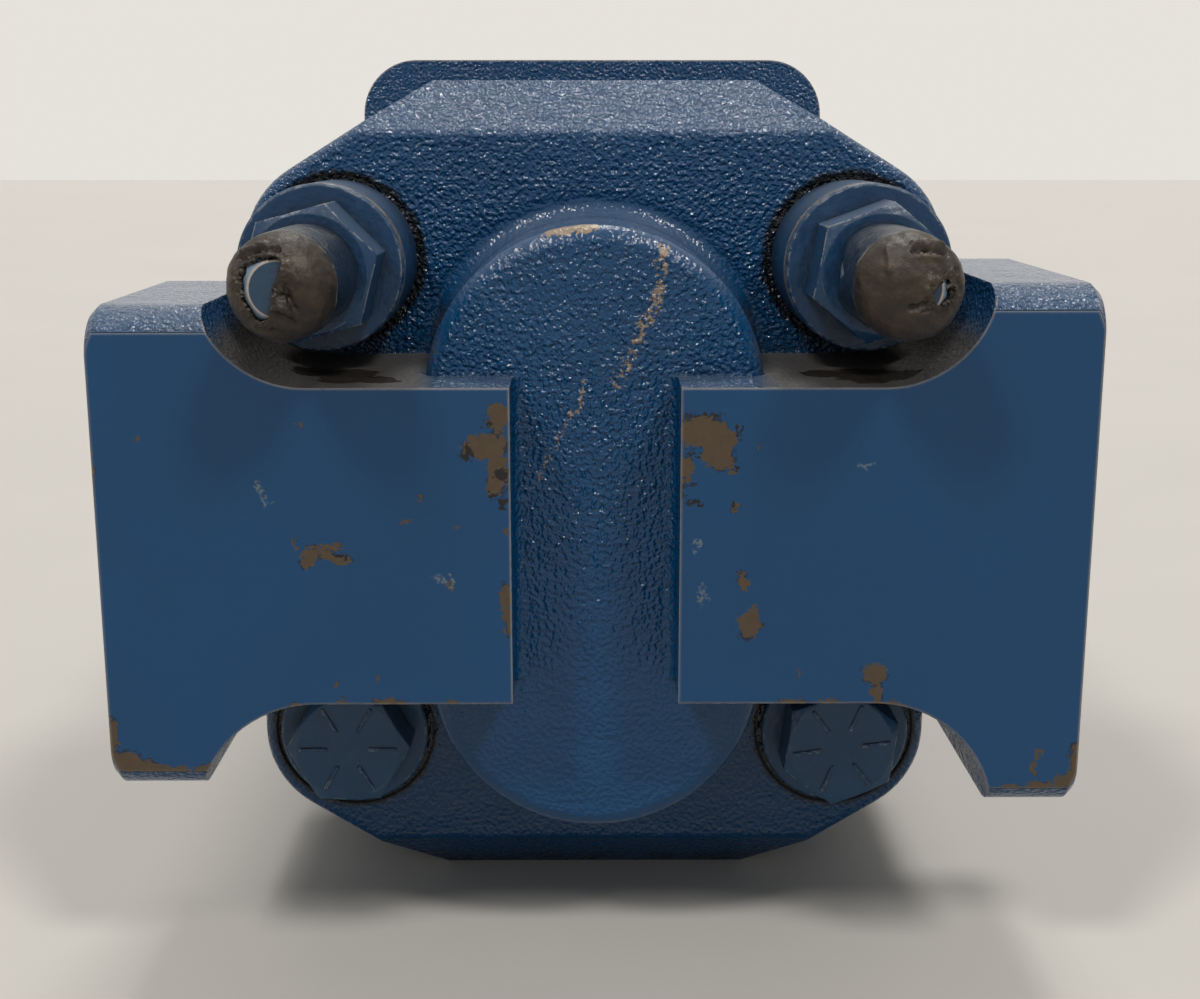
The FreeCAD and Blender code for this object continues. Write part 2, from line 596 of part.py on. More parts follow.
# Port end cover: the rear casting. A long boss closes the rear bearing pockets, and a
# port block on each side carries a four-bolt flange port and its passage.
def port_end_cover():
    body, plate = casting("port_end_cover", "rear_joint", "rear_plate")
    edged = joint_edges(plate, "rear_joint")
    top = "case_half_height - half_centres"
    foot = "-case_half_height - half_centres"

    def end_edge(box):
        at_end = near(box.ZMax, top) or near(box.ZMin, foot)
        return flat_at(box, "bolting_face") and box.ZLength < SLACK and at_end

    bevelled = dress(edged, "Chamfer", "bevel", end_edge)
    dress(bevelled, "Fillet", "cover_round", lambda box: flat_at(box, "bolting_face"))
    boss = sketch_on(body, "XZ_Plane", "bolting_face")
    outer = "(bushing_radius + boss_wall)"
    draw_belt(boss, [("0", "-2 * half_centres", outer), ("0", "0", outer)])
    figure = extrude(boss, "Pad", "boss_height")
    boss_reach = (outer, outer, f"-2 * half_centres - {outer}")
    rim = dress(figure, "Fillet", "boss_fillet",
                lambda box: flat_at(box, "bolting_face") and within(box, *boss_reach))
    dress(rim, "Fillet", "boss_round", lambda box: flat_at(box, "boss_face"))
    for side, half_height, depth in (("", "inlet_half_height", "inlet_depth"),
                                     ("-", "outlet_half_height", "outlet_depth")):
        block = sketch_on(body, "XZ_Plane", f"wing_face - {depth}")
        draw_wing(block, side, half_height)
        pad = extrude(block, "Pad", f"{depth} + wing_allowance")
        high = f"{half_height} - half_centres"
        low = f"-{half_height} - half_centres"

        def flank_edge(box):
            at_flank = near(box.ZMax, high) or near(box.ZMin, low)
            return flat_at(box, "wing_face + wing_allowance") and box.ZLength < SLACK and at_flank

        dress(pad, "Fillet", "wing_round", flank_edge)
    face = sketch_on(body, "XZ_Plane", "wing_face")
    draw_outline(face, [
        ("-wing_reach - wing_allowance", "-case_half_height - half_centres"),
        ("wing_reach + wing_allowance", "-case_half_height - half_centres"),
        ("wing_reach + wing_allowance", "case_half_height"),
        ("-wing_reach - wing_allowance", "case_half_height"),
    ])
    milled = extrude(face, "Pocket", "2 * wing_allowance")

    def outer_corner(box):
        at_side = near(box.XMin, "wing_reach") or near(box.XMax, "-wing_reach")
        heights = ("inlet_half_height", "outlet_half_height")
        at_flank = any(
            near(box.ZMax, f"{height} - half_centres") or near(box.ZMin, f"-{height} - half_centres")
            for height in heights
        )
        return box.YLength > SLACK and box.XLength < SLACK and at_side and at_flank

    def inner_foot(box):
        at_side = near(box.XMax, "wing_inner") or near(box.XMin, "-wing_inner")
        return flat_at(box, "boss_face") and box.XLength < SLACK and at_side

    cornered = dress(milled, "Chamfer", "wing_corner", outer_corner)
    dress(cornered, "Fillet", "step_fillet", inner_foot)
    circles(body, "bolting_face", BOLTS, "spotface_radius", "Pocket", "spotface_depth", forwards=True)
    circles(body, "bolting_face", BOLTS, "bolt_hole_radius", "Pocket", "rear_plate", forwards=True)
    circles(body, "rear_joint", SHAFTS, "bushing_radius + seat_gap", "Pocket",
            "bushing_length + pocket_spare")
    circles(body, "rear_joint", DOWELS, "dowel_radius + seat_gap", "Pocket", "dowel_half_length")
    circles(body, "rear_joint", [("chamber_reach", "-half_centres")], "chamber_radius", "Pocket",
            "inlet_y - rear_joint")
    circles(body, "rear_joint", [("-chamber_reach", "-half_centres")], "outlet_core_radius", "Pocket",
            "outlet_y - rear_joint")
    side_bore(body, "", "inlet_y", "inlet_radius", "inlet_counterbore")
    side_bore(body, "", "inlet_y", "inlet_passage_radius", "wing_reach - passage_end")
    side_bore(body, "-", "outlet_y", "outlet_radius", "outlet_counterbore")
    side_bore(body, "-", "outlet_y", "outlet_passage_radius", "wing_reach - passage_end")
    for side, behind, pitch_y, pitch_z in (("", "inlet_y", "inlet_pitch_y", "inlet_pitch_z"),
                                           ("-", "outlet_y", "outlet_pitch_y", "outlet_pitch_z")):
        places = [
            (f"-({behind}) {sign_y} {pitch_y} / 2", f"-half_centres {sign_z} {pitch_z} / 2")
            for sign_y in "+-"
            for sign_z in "+-"
        ]
        side_holes(body, side, places, "port_thread_radius", "port_thread_depth")


def side_holes(body, side, places, radius, depth):
    """Pocket circles at some (y, z) places into a port face."""
    sketch = sketch_on(body, "YZ_Plane", side + "wing_reach")
    for y, z in places:
        draw_circle(sketch, y, z, radius)
    feature = body.newObject("PartDesign::Pocket", sketch.Name + "_pocket")
    feature.Profile = sketch
    feature.setExpression("Length", bound(depth))
    feature.Reversed = side == "-"


def side_bore(body, side, behind, radius, depth):
    """One bore from a port face towards the middle plane."""
    side_holes(body, side, [(f"-({behind})", "-half_centres")], radius, depth)


def involute_gear(front, rear, phase):
    """A spur gear about the Y axis, one tooth centred on the phase angle."""
    teeth = int(number("gear_teeth"))
    pitch_radius = number("half_centres")
    angle = radians(number("pressure_angle"))
    base_radius = pitch_radius * cos(angle)
    tip = number("tip_radius")
    root = number("root_radius")
    half_tooth = pi / (2 * teeth) - number("backlash") / (2 * pitch_radius) + tan(angle) - angle

    def polar(radius, turn_angle):
        return Vector(radius * cos(turn_angle), 0, radius * sin(turn_angle))

    def flank(radius):
        slope = acos(base_radius / radius)
        return half_tooth - (tan(slope) - slope)

    steps = 6
    radii = [base_radius + (tip - base_radius) * (step / steps) ** 1.5 for step in range(steps + 1)]
    edges = []
    pitch = 2 * pi / teeth
    for tooth in range(teeth):
        middle = phase + tooth * pitch
        rising = [polar(radius, middle - flank(radius)) for radius in radii]
        falling = [polar(radius, middle + flank(radius)) for radius in reversed(radii)]
        foot = polar(root, middle - half_tooth)
        heel = polar(root, middle + half_tooth)
        following = polar(root, middle + pitch - half_tooth)
        for points in (rising, falling):
            curve = Part.BSplineCurve()
            curve.interpolate(points)
            if points is rising:
                edges.append(Part.makeLine(foot, points[0]))
                edges.append(curve.toShape())
                edges.append(Part.Arc(points[-1], polar(tip, middle), falling[0]).toShape())
            else:
                edges.append(curve.toShape())
                edges.append(Part.makeLine(points[-1], heel))
        edges.append(Part.Arc(heel, polar(root, middle + pitch / 2), following).toShape())
    profile = Part.Face(Part.Wire(edges))
    profile.translate(Vector(0, -front, 0))
    return profile.extrude(Vector(0, front - rear, 0))


def gear_blank(name, phase):
    """The teeth of one gear as a feature of the document."""
    feature = doc.addObject("Part::Feature", name)
    feature.Shape = involute_gear(number("gear_front"), number("gear_rear"), phase)
    return feature


# Drive gear: one forging. Long journals, the bearing seat, a snap ring groove and the
# keyed end are turned on it, and the teeth are cut between the journals.
def drive_gear():
    seat_front = "bearing_width - bearing_back"
    groove_front = f"({seat_front} + outer_snap_thickness + 2 * snap_side_gap)"
    shaft = turned_body("drive_shaft_blank", [
        ("0", "-journal_end"),
        ("journal_radius - journal_chamfer", "-journal_end"),
        ("journal_radius", "journal_chamfer - journal_end"),
        ("journal_radius", "-bearing_back"),
        ("bearing_inner_radius", "-bearing_back"),
        ("bearing_inner_radius", seat_front),
        ("bearing_inner_radius - outer_snap_depth", seat_front),
        ("bearing_inner_radius - outer_snap_depth", groove_front),
        ("bearing_inner_radius", groove_front),
        ("bearing_inner_radius", "key_end_start"),
        ("key_end_radius", "key_end_start"),
        ("key_end_radius", "shaft_reach - journal_chamfer"),
        ("key_end_radius - journal_chamfer", "shaft_reach"),
        ("0", "shaft_reach"),
    ])
    teeth = gear_blank("drive_teeth", -pi / 2)
    joined = doc.addObject("Part::Fuse", "drive_gear_solid")
    joined.Base = shaft
    joined.Tool = teeth
    seat = key_box("keyseat", "key_side_gap")
    gear = doc.addObject("Part::Cut", "drive_gear")
    gear.Label = "drive_gear"
    gear.Base = joined
    gear.Tool = seat
    return gear


def key_box(name, slack):
    """The key's own block, or its seat with slack on both sides and at the ends."""
    block = doc.addObject("Part::Box", name)
    block.setExpression("Width", bound(f"key_length + 2 * {slack}"))
    block.setExpression("Length", bound(f"key_width + 2 * {slack}"))
    block.setExpression("Height", bound("key_width"))
    block.setExpression("Placement.Base.x", bound(f"-key_width / 2 - {slack}"))
    block.setExpression("Placement.Base.y", bound(f"shaft_reach - key_setback - key_length - {slack}"))
    block.setExpression("Placement.Base.z", bound("key_end_radius - key_width / 2"))
    return block


# Driven gear: the second shaft, with two plain journals.
def driven_gear():
    shaft = turned_body("driven_shaft_blank", [
        ("0", "-journal_end"),
        ("journal_radius - journal_chamfer", "-journal_end"),
        ("journal_radius", "journal_chamfer - journal_end"),
        ("journal_radius", "bushing_length - journal_chamfer - front_joint"),
        ("journal_radius - journal_chamfer", "bushing_length - front_joint"),
        ("0", "bushing_length - front_joint"),
    ])
    teeth = gear_blank("driven_teeth", -pi / 2 + pi / number("gear_teeth"))
    gear = doc.addObject("Part::Fuse", "driven_gear")
    gear.Label = "driven_gear"
    gear.Base = shaft
    gear.Tool = teeth
    gear.setExpression("Placement.Base.z", bound("-2 * half_centres"))
    return gear


# Thrust plates: bronze plates that close the gears' ends, with trapping reliefs.
def thrust_plate(name, front, gear_side_front):
    body = new_body(name)
    for place in SHAFTS:
        circles(body, front, [place], "case_bore - plate_gap", "Pad", "plate_thickness")
    rear = f"{front} + plate_thickness"
    for place in SHAFTS:
        circles(body, rear, [place], "journal_radius + plate_hole_gap", "Pocket",
                "plate_thickness", forwards=True)
    places = [("relief_reach", "-half_centres"), ("-relief_reach", "-half_centres")]
    if gear_side_front:
        circles(body, front, places, "relief_radius", "Pocket", "relief_depth")
    else:
        circles(body, rear, places, "relief_radius", "Pocket", "relief_depth", forwards=True)
    return body


# Bushings: plain bearings pressed into both covers, with an oil groove along the bore.
def bushing(name, front, z):
    rear = f"({front} + bushing_length)"
    body = turned_body(name, [
        ("journal_radius + running_gap", "-" + rear),
        ("bushing_radius - case_edge", "-" + rear),
        ("bushing_radius", "case_edge - " + rear),
        ("bushing_radius", f"-({front}) - case_edge"),
        ("bushing_radius - case_edge", f"-({front})"),
        ("journal_radius + running_gap", f"-({front})"),
    ], z=z)
    oil = sketch_on(body, "XZ_Plane", rear)
    draw_circle(oil, "journal_radius", "0", "journal_chamfer")
    extrude(oil, "Pocket", "bushing_length", forwards=True)
    return body


# Ball bearing on the drive shaft: two grooved rings, the balls and their cage.
def ball_bearing():
    rear = "-bearing_back"
    front = "(bearing_width - bearing_back)"
    middle = "(bearing_width / 2 - bearing_back)"
    race = "(ball_radius + ball_gap)"
    lift = "(outer_race_shoulder - ball_circle)"
    groove = f"sqrt({race} * {race} - {lift} * {lift})"
    outer = turned_body("bearing_outer_ring", [
        ("outer_race_shoulder", rear),
        ("bearing_outer_radius - bearing_round", rear),
        ("bearing_outer_radius", f"{rear} + bearing_round"),
        ("bearing_outer_radius", f"{front} - bearing_round"),
        ("bearing_outer_radius - bearing_round", front),
        ("outer_race_shoulder", front),
        ("outer_race_shoulder", f"{middle} + {groove}", "-" + race),
        ("outer_race_shoulder", f"{middle} - {groove}"),
    ])
    inner = turned_body("bearing_inner_ring", [
        ("bearing_inner_radius + bearing_round + seat_gap", rear),
        ("inner_race_shoulder", rear),
        ("inner_race_shoulder", f"{middle} - {groove}", "-" + race),
        ("inner_race_shoulder", f"{middle} + {groove}"),
        ("inner_race_shoulder", front),
        ("bearing_inner_radius + bearing_round + seat_gap", front),
        ("bearing_inner_radius + seat_gap", f"{front} - bearing_round"),
        ("bearing_inner_radius + seat_gap", f"{rear} + bearing_round"),
    ])
    band = turned_body("cage_band", [
        ("ball_circle - cage_wall", f"{middle} - cage_half_width"),
        ("ball_circle + cage_wall", f"{middle} - cage_half_width"),
        ("ball_circle + cage_wall", f"{middle} + cage_half_width"),
        ("ball_circle - cage_wall", f"{middle} + cage_half_width"),
    ])
    balls = doc.addObject("Part::Compound", "bearing_balls")
    pockets = doc.addObject("Part::Compound", "cage_pockets")
    count = int(number("ball_count"))
    for index in range(count):
        angle = 360 * index / count
        ball = doc.addObject("Part::Sphere", f"ball_{index}")
        ball.setExpression("Radius", bound("ball_radius"))
        ball.setExpression("Placement.Base.x", bound("ball_circle") + f" * cos({angle} deg)")
        ball.setExpression("Placement.Base.y", bound(middle))
        ball.setExpression("Placement.Base.z", bound("ball_circle") + f" * sin({angle} deg)")
        balls.Links += [ball]
        pocket = doc.addObject("Part::Cylinder", f"pocket_{index}")
        pocket.Placement = Placement(Vector(), Rotation(Vector(0, 1, 0), 90 - angle))
        pocket.setExpression("Radius", bound("ball_radius + cage_gap"))
        pocket.setExpression("Height", bound("bearing_outer_radius"))
        pocket.setExpression("Placement.Base.y", bound(middle))
        pockets.Links += [pocket]
    cage = doc.addObject("Part::Cut", "bearing_cage")
    cage.Base = band
    cage.Tool = pockets


# Lip seal: a rubber-covered case with a sprung lip on the shaft, and its garter spring.
def lip_seal():
    front = "-(seal_front)"
    rear = "-(seal_front + seal_width)"
    lip = "journal_radius + running_gap"
    crown = "(spring_circle + spring_radius)"
    turned_body("shaft_seal", [
        (lip, f"{front} - lip_length"),
        (f"{crown} - 2 * spring_radius", f"{front} - lip_length - spring_radius"),
        (f"{crown} - 2 * spring_radius", f"{front} - lip_length + spring_radius"),
        (crown, f"{front} - lip_length + spring_radius"),
        (crown, f"{front} - seal_web"),
        ("seal_radius - seal_case_wall", f"{front} - seal_web"),
        ("seal_radius - seal_case_wall", rear),
        ("seal_radius", rear),
        ("seal_radius", front),
        (f"{lip} + spring_radius", front),
        (f"{lip} + spring_radius", f"{front} - seal_web"),
    ])
    spring = doc.addObject("Part::Torus", "seal_spring")
    spring.Label = "seal_spring"
    spring.setExpression("Radius1", bound("spring_circle + seat_gap"))
    spring.setExpression("Radius2", bound("spring_radius - seat_gap"))
    spring.Placement = Placement(Vector(), Rotation(Vector(1, 0, 0), 90))
    spring.setExpression("Placement.Base.y", bound(f"{front} - lip_length"))


# Snap rings: open rings with eyes for pliers, one in the bore and one on the shaft.
def snap_ring(name, behind, inner, outer, thickness, eye_radius, turn_angle):
    body = new_body(name, turn=turn_angle)
    sketch = sketch_on(body, "XZ_Plane", behind)
    draw_circle(sketch, "0", "0", outer)
    draw_circle(sketch, "0", "0", inner)
    extrude(sketch, "Pad", thickness)
    gap = sketch_on(body, "XZ_Plane", f"{behind} + {thickness}")
    opening = "snap_gap_angle * 1 deg / 2"
    reach = f"({outer}) * 1.5"
    draw_outline(gap, [
        ("0", "0"),
        (f"{reach} * sin({opening})", f"{reach} * cos({opening})"),
        (f"-{reach} * sin({opening})", f"{reach} * cos({opening})"),
    ])
    extrude(gap, "Pocket", thickness, forwards=True)
    eyes = sketch_on(body, "XZ_Plane", f"{behind} + {thickness}")
    middle = f"(({inner}) + ({outer})) / 2"
    for sign in ("", "-"):
        spread = "((snap_gap_angle / 2 + snap_eye_angle) * 1 deg)"
        draw_circle(eyes, f"{sign}{middle} * sin({spread})", f"{middle} * cos({spread})", eye_radius)
    extrude(eyes, "Pocket", thickness, forwards=True)


def joint_seal(name, behind):
    """Square section ring in a housing groove, its flat on the cover's joint face."""
    body = new_body(name)
    sketch = sketch_on(body, "XZ_Plane", behind)
    draw_seal(sketch, "0")
    extrude(sketch, "Pad", "joint_seal_depth")


def dowel(name, behind, x, z):
    """A dowel pin across one joint."""
    half = "(dowel_half_length - dowel_end_gap)"
    edge = "dowel_radius / 6"
    turned_body(name, [
        ("0", f"-({behind}) - {half}"),
        (f"dowel_radius - {edge}", f"-({behind}) - {half}"),
        ("dowel_radius", f"-({behind}) - {half} + {edge}"),
        ("dowel_radius", f"-({behind}) + {half} - {edge}"),
        (f"dowel_radius - {edge}", f"-({behind}) + {half}"),
        ("0", f"-({behind}) + {half}"),
    ], x, z)


def draw_hexagon(sketch, flats):
    """A hexagon with two flats square to X."""
    side = f"{flats} / sqrt(3)"
    half = f"{flats} / 2"
    points = [
        (half, f"-{side} / 2"),
        (half, f"{side} / 2"),
        ("0", side),
        (f"-{half}", f"{side} / 2"),
        (f"-{half}", f"-{side} / 2"),
        ("0", f"-{side}"),
    ]
    draw_outline(sketch, points)


def chamfer_hexagon(body, top):
    """Turn the corners off a hexagon's rear end."""
    corner = sketch_on(body, "XY_Plane")
    outside = "nut_flats / sqrt(3)"
    draw_outline(corner, [
        ("nut_flats / 2 - hex_inset", f"-({top})"),
        (f"{outside} + hex_chamfer", f"-({top})"),
        (f"{outside} + hex_chamfer", f"-({top}) + hex_chamfer"),
    ])
    turn(corner, "Groove")


def cap_screw(name, x, z, turn_angle):
    """Long hex head screw through two castings into the third."""
    body = turned_body(name, [
        ("0", "-head_seat - head_height / 2"),
        ("bolt_radius", "-head_seat - head_height / 2"),
        ("bolt_radius", "-thread_end - journal_chamfer"),
        ("bolt_radius - journal_chamfer", "-thread_end"),
        ("0", "-thread_end"),
    ], x, z, turn_angle)
    head = sketch_on(body, "XZ_Plane", "head_seat")
    draw_hexagon(head, "nut_flats")
    extrude(head, "Pad", "head_height")
    chamfer_hexagon(body, "head_top")


def stud(name, x, z):
    """Long stud, screwed into the shaft end cover, with a chamfered point."""
    turned_body(name, [
        ("0", "-stud_end"),
        ("stud_point_radius", "-stud_end"),
        ("bolt_radius", "stud_point_length - stud_end"),
        ("bolt_radius", "-thread_end - journal_chamfer"),
        ("bolt_radius - journal_chamfer", "-thread_end"),
        ("0", "-thread_end"),
    ], x, z)


def collar(name, x, z):
    """Round spacer that lifts the nut clear of the port block."""
    turned_body(name, [
        ("washer_hole_radius", "-collar_top"),
        ("washer_radius - collar_edge", "-collar_top"),
        ("washer_radius", "collar_edge - collar_top"),
        ("washer_radius", "-fastener_seat - collar_edge"),
        ("washer_radius - collar_edge", "-fastener_seat"),
        ("washer_hole_radius", "-fastener_seat"),
    ], x, z)


def washer(name, x, z, seat):
    """Thick hardened washer."""
    edge = "collar_edge / 2"
    turned_body(name, [
        ("washer_hole_radius", f"-({seat}) - washer_thickness"),
        (f"washer_radius - {edge}", f"-({seat}) - washer_thickness"),
        ("washer_radius", f"-({seat}) - washer_thickness + {edge}"),
        ("washer_radius", f"-({seat}) - {edge}"),
        (f"washer_radius - {edge}", f"-({seat})"),
        ("washer_hole_radius", f"-({seat})"),
    ], x, z)


def nut(name, x, z, turn_angle):
    """Hex nut on a stud."""
    body = new_body(name, x, z, turn_angle)
    sketch = sketch_on(body, "XZ_Plane", "nut_seat")
    draw_hexagon(sketch, "nut_flats")
    draw_circle(sketch, "0", "0", "bolt_radius + nut_gap")
    extrude(sketch, "Pad", "nut_height")
    chamfer_hexagon(body, "nut_top")


def stud_cap(name, x, z, tear):
    """Soft sleeve with a round end that is torn open over the stud's point."""
    open_end = "-(nut_top + cap_lift)"
    inside = "-(stud_end + cap_lift)"
    outside = "-(stud_end + cap_lift + cap_end_wall)"
    body = turned_body(name, [
        ("0", outside),
        ("cap_radius - cap_round", outside, "cap_round"),
        ("cap_radius", f"{outside} + cap_round"),
        ("cap_radius", open_end),
        ("bolt_radius + seat_gap", open_end),
        ("bolt_radius + seat_gap", f"{inside} + stud_point_length"),
        ("stud_point_radius + seat_gap", inside),
        ("0", inside),
    ], x, z)
    window = sketch_on(body, "XZ_Plane", "stud_end + cap_lift + cap_end_wall")
    draw_belt(window, tear)
    extrude(window, "Pocket", "2 * cap_end_wall", forwards=True)


shaft_end_cover()
gear_housing()
port_end_cover()
drive_gear()
driven_gear()
key = key_box("shaft_key", "0")
key.Label = "shaft_key"
thrust_plate("front_thrust_plate", "front_joint", gear_side_front=False)
thrust_plate("rear_thrust_plate", "rear_joint - plate_thickness", gear_side_front=True)
for end, front in (("front", "front_joint - bushing_length"), ("rear", "rear_joint")):
    bushing(f"{end}_drive_bushing", front, "0")
    bushing(f"{end}_driven_bushing", front, "-2 * half_centres")
ball_bearing()
lip_seal()
snap_ring(
    "bearing_snap_ring",
    "bearing_back - bearing_width - snap_side_gap - inner_snap_thickness",
    "bearing_outer_radius + inner_snap_depth - inner_snap_width - snap_side_gap",
    "bearing_outer_radius + inner_snap_depth - snap_side_gap",
    "inner_snap_thickness",
    "inner_snap_thickness / 2",
    "0",
)
snap_ring(
    "shaft_snap_ring",
    "bearing_back - bearing_width - snap_side_gap - outer_snap_thickness",
    "bearing_inner_radius - outer_snap_depth + snap_side_gap",
    "bearing_inner_radius - outer_snap_depth + outer_snap_width + snap_side_gap",
    "outer_snap_thickness",
    "outer_snap_thickness / 2",
    "0",
)
joint_seal("front_joint_seal", "front_joint")
joint_seal("rear_joint_seal", "rear_joint - joint_seal_depth")
for end, behind in (("front", "front_joint"), ("rear", "rear_joint")):
    for side, (x, z) in zip(("left", "right"), DOWELS):
        dowel(f"{end}_{side}_dowel", behind, x, z)
TEARS = {
    "left": [
        ("-tear_shift", "-tear_shift / 2", "tear_radius"),
        ("tear_shift / 3", "-tear_shift / 3", "tear_radius * 0.8"),
        ("-tear_shift / 2", "tear_shift", "tear_radius * 0.8"),
    ],
    "right": [
        ("slit_shift", "-slit_shift / 2", "slit_radius * 0.7"),
        ("slit_shift", "slit_shift / 4", "slit_radius"),
    ],
}
for side, upper, lower in (("left", BOLTS[0], BOLTS[2]), ("right", BOLTS[1], BOLTS[3])):
    stud(f"{side}_stud", *upper)
    collar(f"{side}_collar", *upper)
    washer(f"{side}_nut_washer", *upper, "collar_top")
    nut(f"{side}_nut", *upper, f"{side}_nut_turn")
    stud_cap(f"{side}_stud_cap", *upper, TEARS[side])
    cap_screw(f"{side}_cap_screw", *lower, f"{side}_head_turn")
    washer(f"{side}_screw_washer", *lower, "fastener_seat")

NODES = [
    "shaft_end_cover", "gear_housing", "port_end_cover",
    "drive_gear", "driven_gear", "shaft_key",
    "front_thrust_plate", "rear_thrust_plate",
    "front_drive_bushing", "front_driven_bushing", "rear_drive_bushing", "rear_driven_bushing",
    "bearing_outer_ring", "bearing_inner_ring", "bearing_balls", "bearing_cage",
    "shaft_seal", "seal_spring", "bearing_snap_ring", "shaft_snap_ring",
    "front_joint_seal", "rear_joint_seal",
    "front_left_dowel", "front_right_dowel", "rear_left_dowel", "rear_right_dowel",
]
for side in ("left", "right"):
    for piece in ("stud", "collar", "nut_washer", "nut", "stud_cap", "cap_screw", "screw_washer"):
        NODES.append(f"{side}_{piece}")

doc.recompute()
for item in doc.Objects:
    if "Invalid" in item.State or "Error" in item.State:
        raise RuntimeError(f"{item.Name} is {item.State}")
    if item.TypeId in ("PartDesign::Pocket", "PartDesign::Groove"):
        if item.Shape.Volume > item.BaseFeature.Shape.Volume - 0.01:
            raise RuntimeError(f"{item.Name} cuts nothing")

os.makedirs("parts", exist_ok=True)
for name in NODES:
    piece = next(item for item in doc.Objects if item.Label == name)
    shape = piece.Shape
    if shape.isNull() or not shape.isValid() or not shape.Solids:
        raise RuntimeError(f"{name} is not a valid solid")
    shape.exportStep(f"parts/{name}.step")
    print(f"{name}: {len(shape.Solids)} solids, {shape.Volume / 1000:.2f} cm3")
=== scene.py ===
"""Looks of a hydraulic gear pump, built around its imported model: an old blue pump seen from its
port end, standing on the flat of its case."""

import math

import bmesh
import bpy
from mathutils import Matrix, Vector, noise


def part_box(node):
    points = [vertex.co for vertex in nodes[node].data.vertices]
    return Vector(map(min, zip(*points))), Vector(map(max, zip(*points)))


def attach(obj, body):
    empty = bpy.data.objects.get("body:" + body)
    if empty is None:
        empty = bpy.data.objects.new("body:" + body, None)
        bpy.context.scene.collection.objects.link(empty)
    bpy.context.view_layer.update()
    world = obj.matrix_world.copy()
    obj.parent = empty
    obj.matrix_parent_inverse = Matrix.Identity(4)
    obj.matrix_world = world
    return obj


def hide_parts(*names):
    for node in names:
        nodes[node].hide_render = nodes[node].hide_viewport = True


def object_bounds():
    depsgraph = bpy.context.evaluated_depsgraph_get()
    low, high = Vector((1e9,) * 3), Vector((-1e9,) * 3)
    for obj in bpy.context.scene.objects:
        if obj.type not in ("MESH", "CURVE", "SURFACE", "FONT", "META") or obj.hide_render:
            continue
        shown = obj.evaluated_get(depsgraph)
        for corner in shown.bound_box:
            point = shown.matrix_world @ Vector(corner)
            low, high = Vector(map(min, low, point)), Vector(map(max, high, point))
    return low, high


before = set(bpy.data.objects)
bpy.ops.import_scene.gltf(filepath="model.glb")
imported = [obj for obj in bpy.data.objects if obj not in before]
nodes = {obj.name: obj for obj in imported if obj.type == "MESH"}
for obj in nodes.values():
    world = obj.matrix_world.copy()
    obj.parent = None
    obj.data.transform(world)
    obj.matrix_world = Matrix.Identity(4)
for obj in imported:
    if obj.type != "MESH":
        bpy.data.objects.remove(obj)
model_box = [list(corner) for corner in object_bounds()]


# The camera: it stands in front of the port end and looks a little down on the pump, as the
# photograph does. Its place, tilt and lens were fitted to the pump's own planes.
FOCAL_PIXELS = 1640.0
PHOTO_WIDTH = 1200.0
SENSOR = 36.0
EYE = (-0.00115, -0.57299, 0.05069)
PITCH = 0.2183
YAW = 0.0066

eye = bpy.data.cameras.new("photo_view")
eye.sensor_width = SENSOR
eye.lens = FOCAL_PIXELS * SENSOR / PHOTO_WIDTH
eye.clip_start, eye.clip_end = 0.01, 100.0
camera = bpy.data.objects.new("photo_view", eye)
camera.location = EYE
camera.rotation_euler = (math.pi / 2 - PITCH, 0.0, -YAW)
bpy.context.scene.collection.objects.link(camera)
bpy.context.scene.camera = camera
bpy.context.scene.view_settings.view_transform = "Standard"


# The shaft end cover and the gear housing: grey iron cast in sand, its skin left rough, then
# machined on the joints, the pilot and the flange. The bolted pump was sprayed blue all over.
PER_METRE = 1000.0
BLACK = (0.0, 0.0, 0.0, 1.0)
SHEEN = 0.36
EDGE_TURN = (0.015, 0.16)
EDGE_SAMPLES = 4
CORNER_SAMPLES = 3
MIX_FACTOR, MIX_UNDER, MIX_OVER, MIX_RESULT = 0, 6, 7, 2


def add_node(tree, kind, settings, sockets, output=0):
    """Adds a node: its settings first, then a value or a link for each socket named."""
    node = tree.nodes.new(kind)
    for name, setting in settings.items():
        if name == "stops":
            ramp = node.color_ramp.elements
            while len(ramp) < len(setting):
                ramp.new(0.5)
            for stop, (place, tone) in zip(ramp, setting):
                stop.position, stop.color = place, tone
        else:
            setattr(node, name, setting)
    for name, value in sockets.items():
        if isinstance(value, bpy.types.NodeSocket):
            tree.links.new(value, node.inputs[name])
        else:
            node.inputs[name].default_value = value
    return node.outputs[output] if node.outputs else None


class Term:
    """One output of a finish's nodes. Sums and products of terms add Math nodes."""

    def __init__(self, finish, socket):
        self.finish = finish
        self.socket = socket

    def math(self, operation, first, second):
        return self.finish.add(
            "ShaderNodeMath", {"operation": operation}, {0: first, 1: second}
        )

    def __add__(self, other):
        return self.math("ADD", self, other)

    def __radd__(self, other):
        return self.math("ADD", other, self)

    def __sub__(self, other):
        return self.math("SUBTRACT", self, other)

    def __rsub__(self, other):
        return self.math("SUBTRACT", other, self)

    def __mul__(self, other):
        return self.math("MULTIPLY", self, other)

    def __rmul__(self, other):
        return self.math("MULTIPLY", other, self)

    def least(self, other):
        return self.math("MINIMUM", self, other)

    def most(self, other):
        return self.math("MAXIMUM", self, other)

    def size(self):
        """The value without its sign."""
        return self.math("ABSOLUTE", self, 0.0)

    def between(self, low, high):
        """0 at low and 1 at high with a soft bend at both, whichever is the larger."""
        return self.finish.add(
            "ShaderNodeMapRange",
            {"interpolation_type": "SMOOTHSTEP"},
            {"Value": self, "From Min": low, "From Max": high, "To Min": 0.0, "To Max": 1.0},
        )

    def out(self, name):
        """Another output of the same node."""
        return Term(self.finish, self.socket.node.outputs[name])


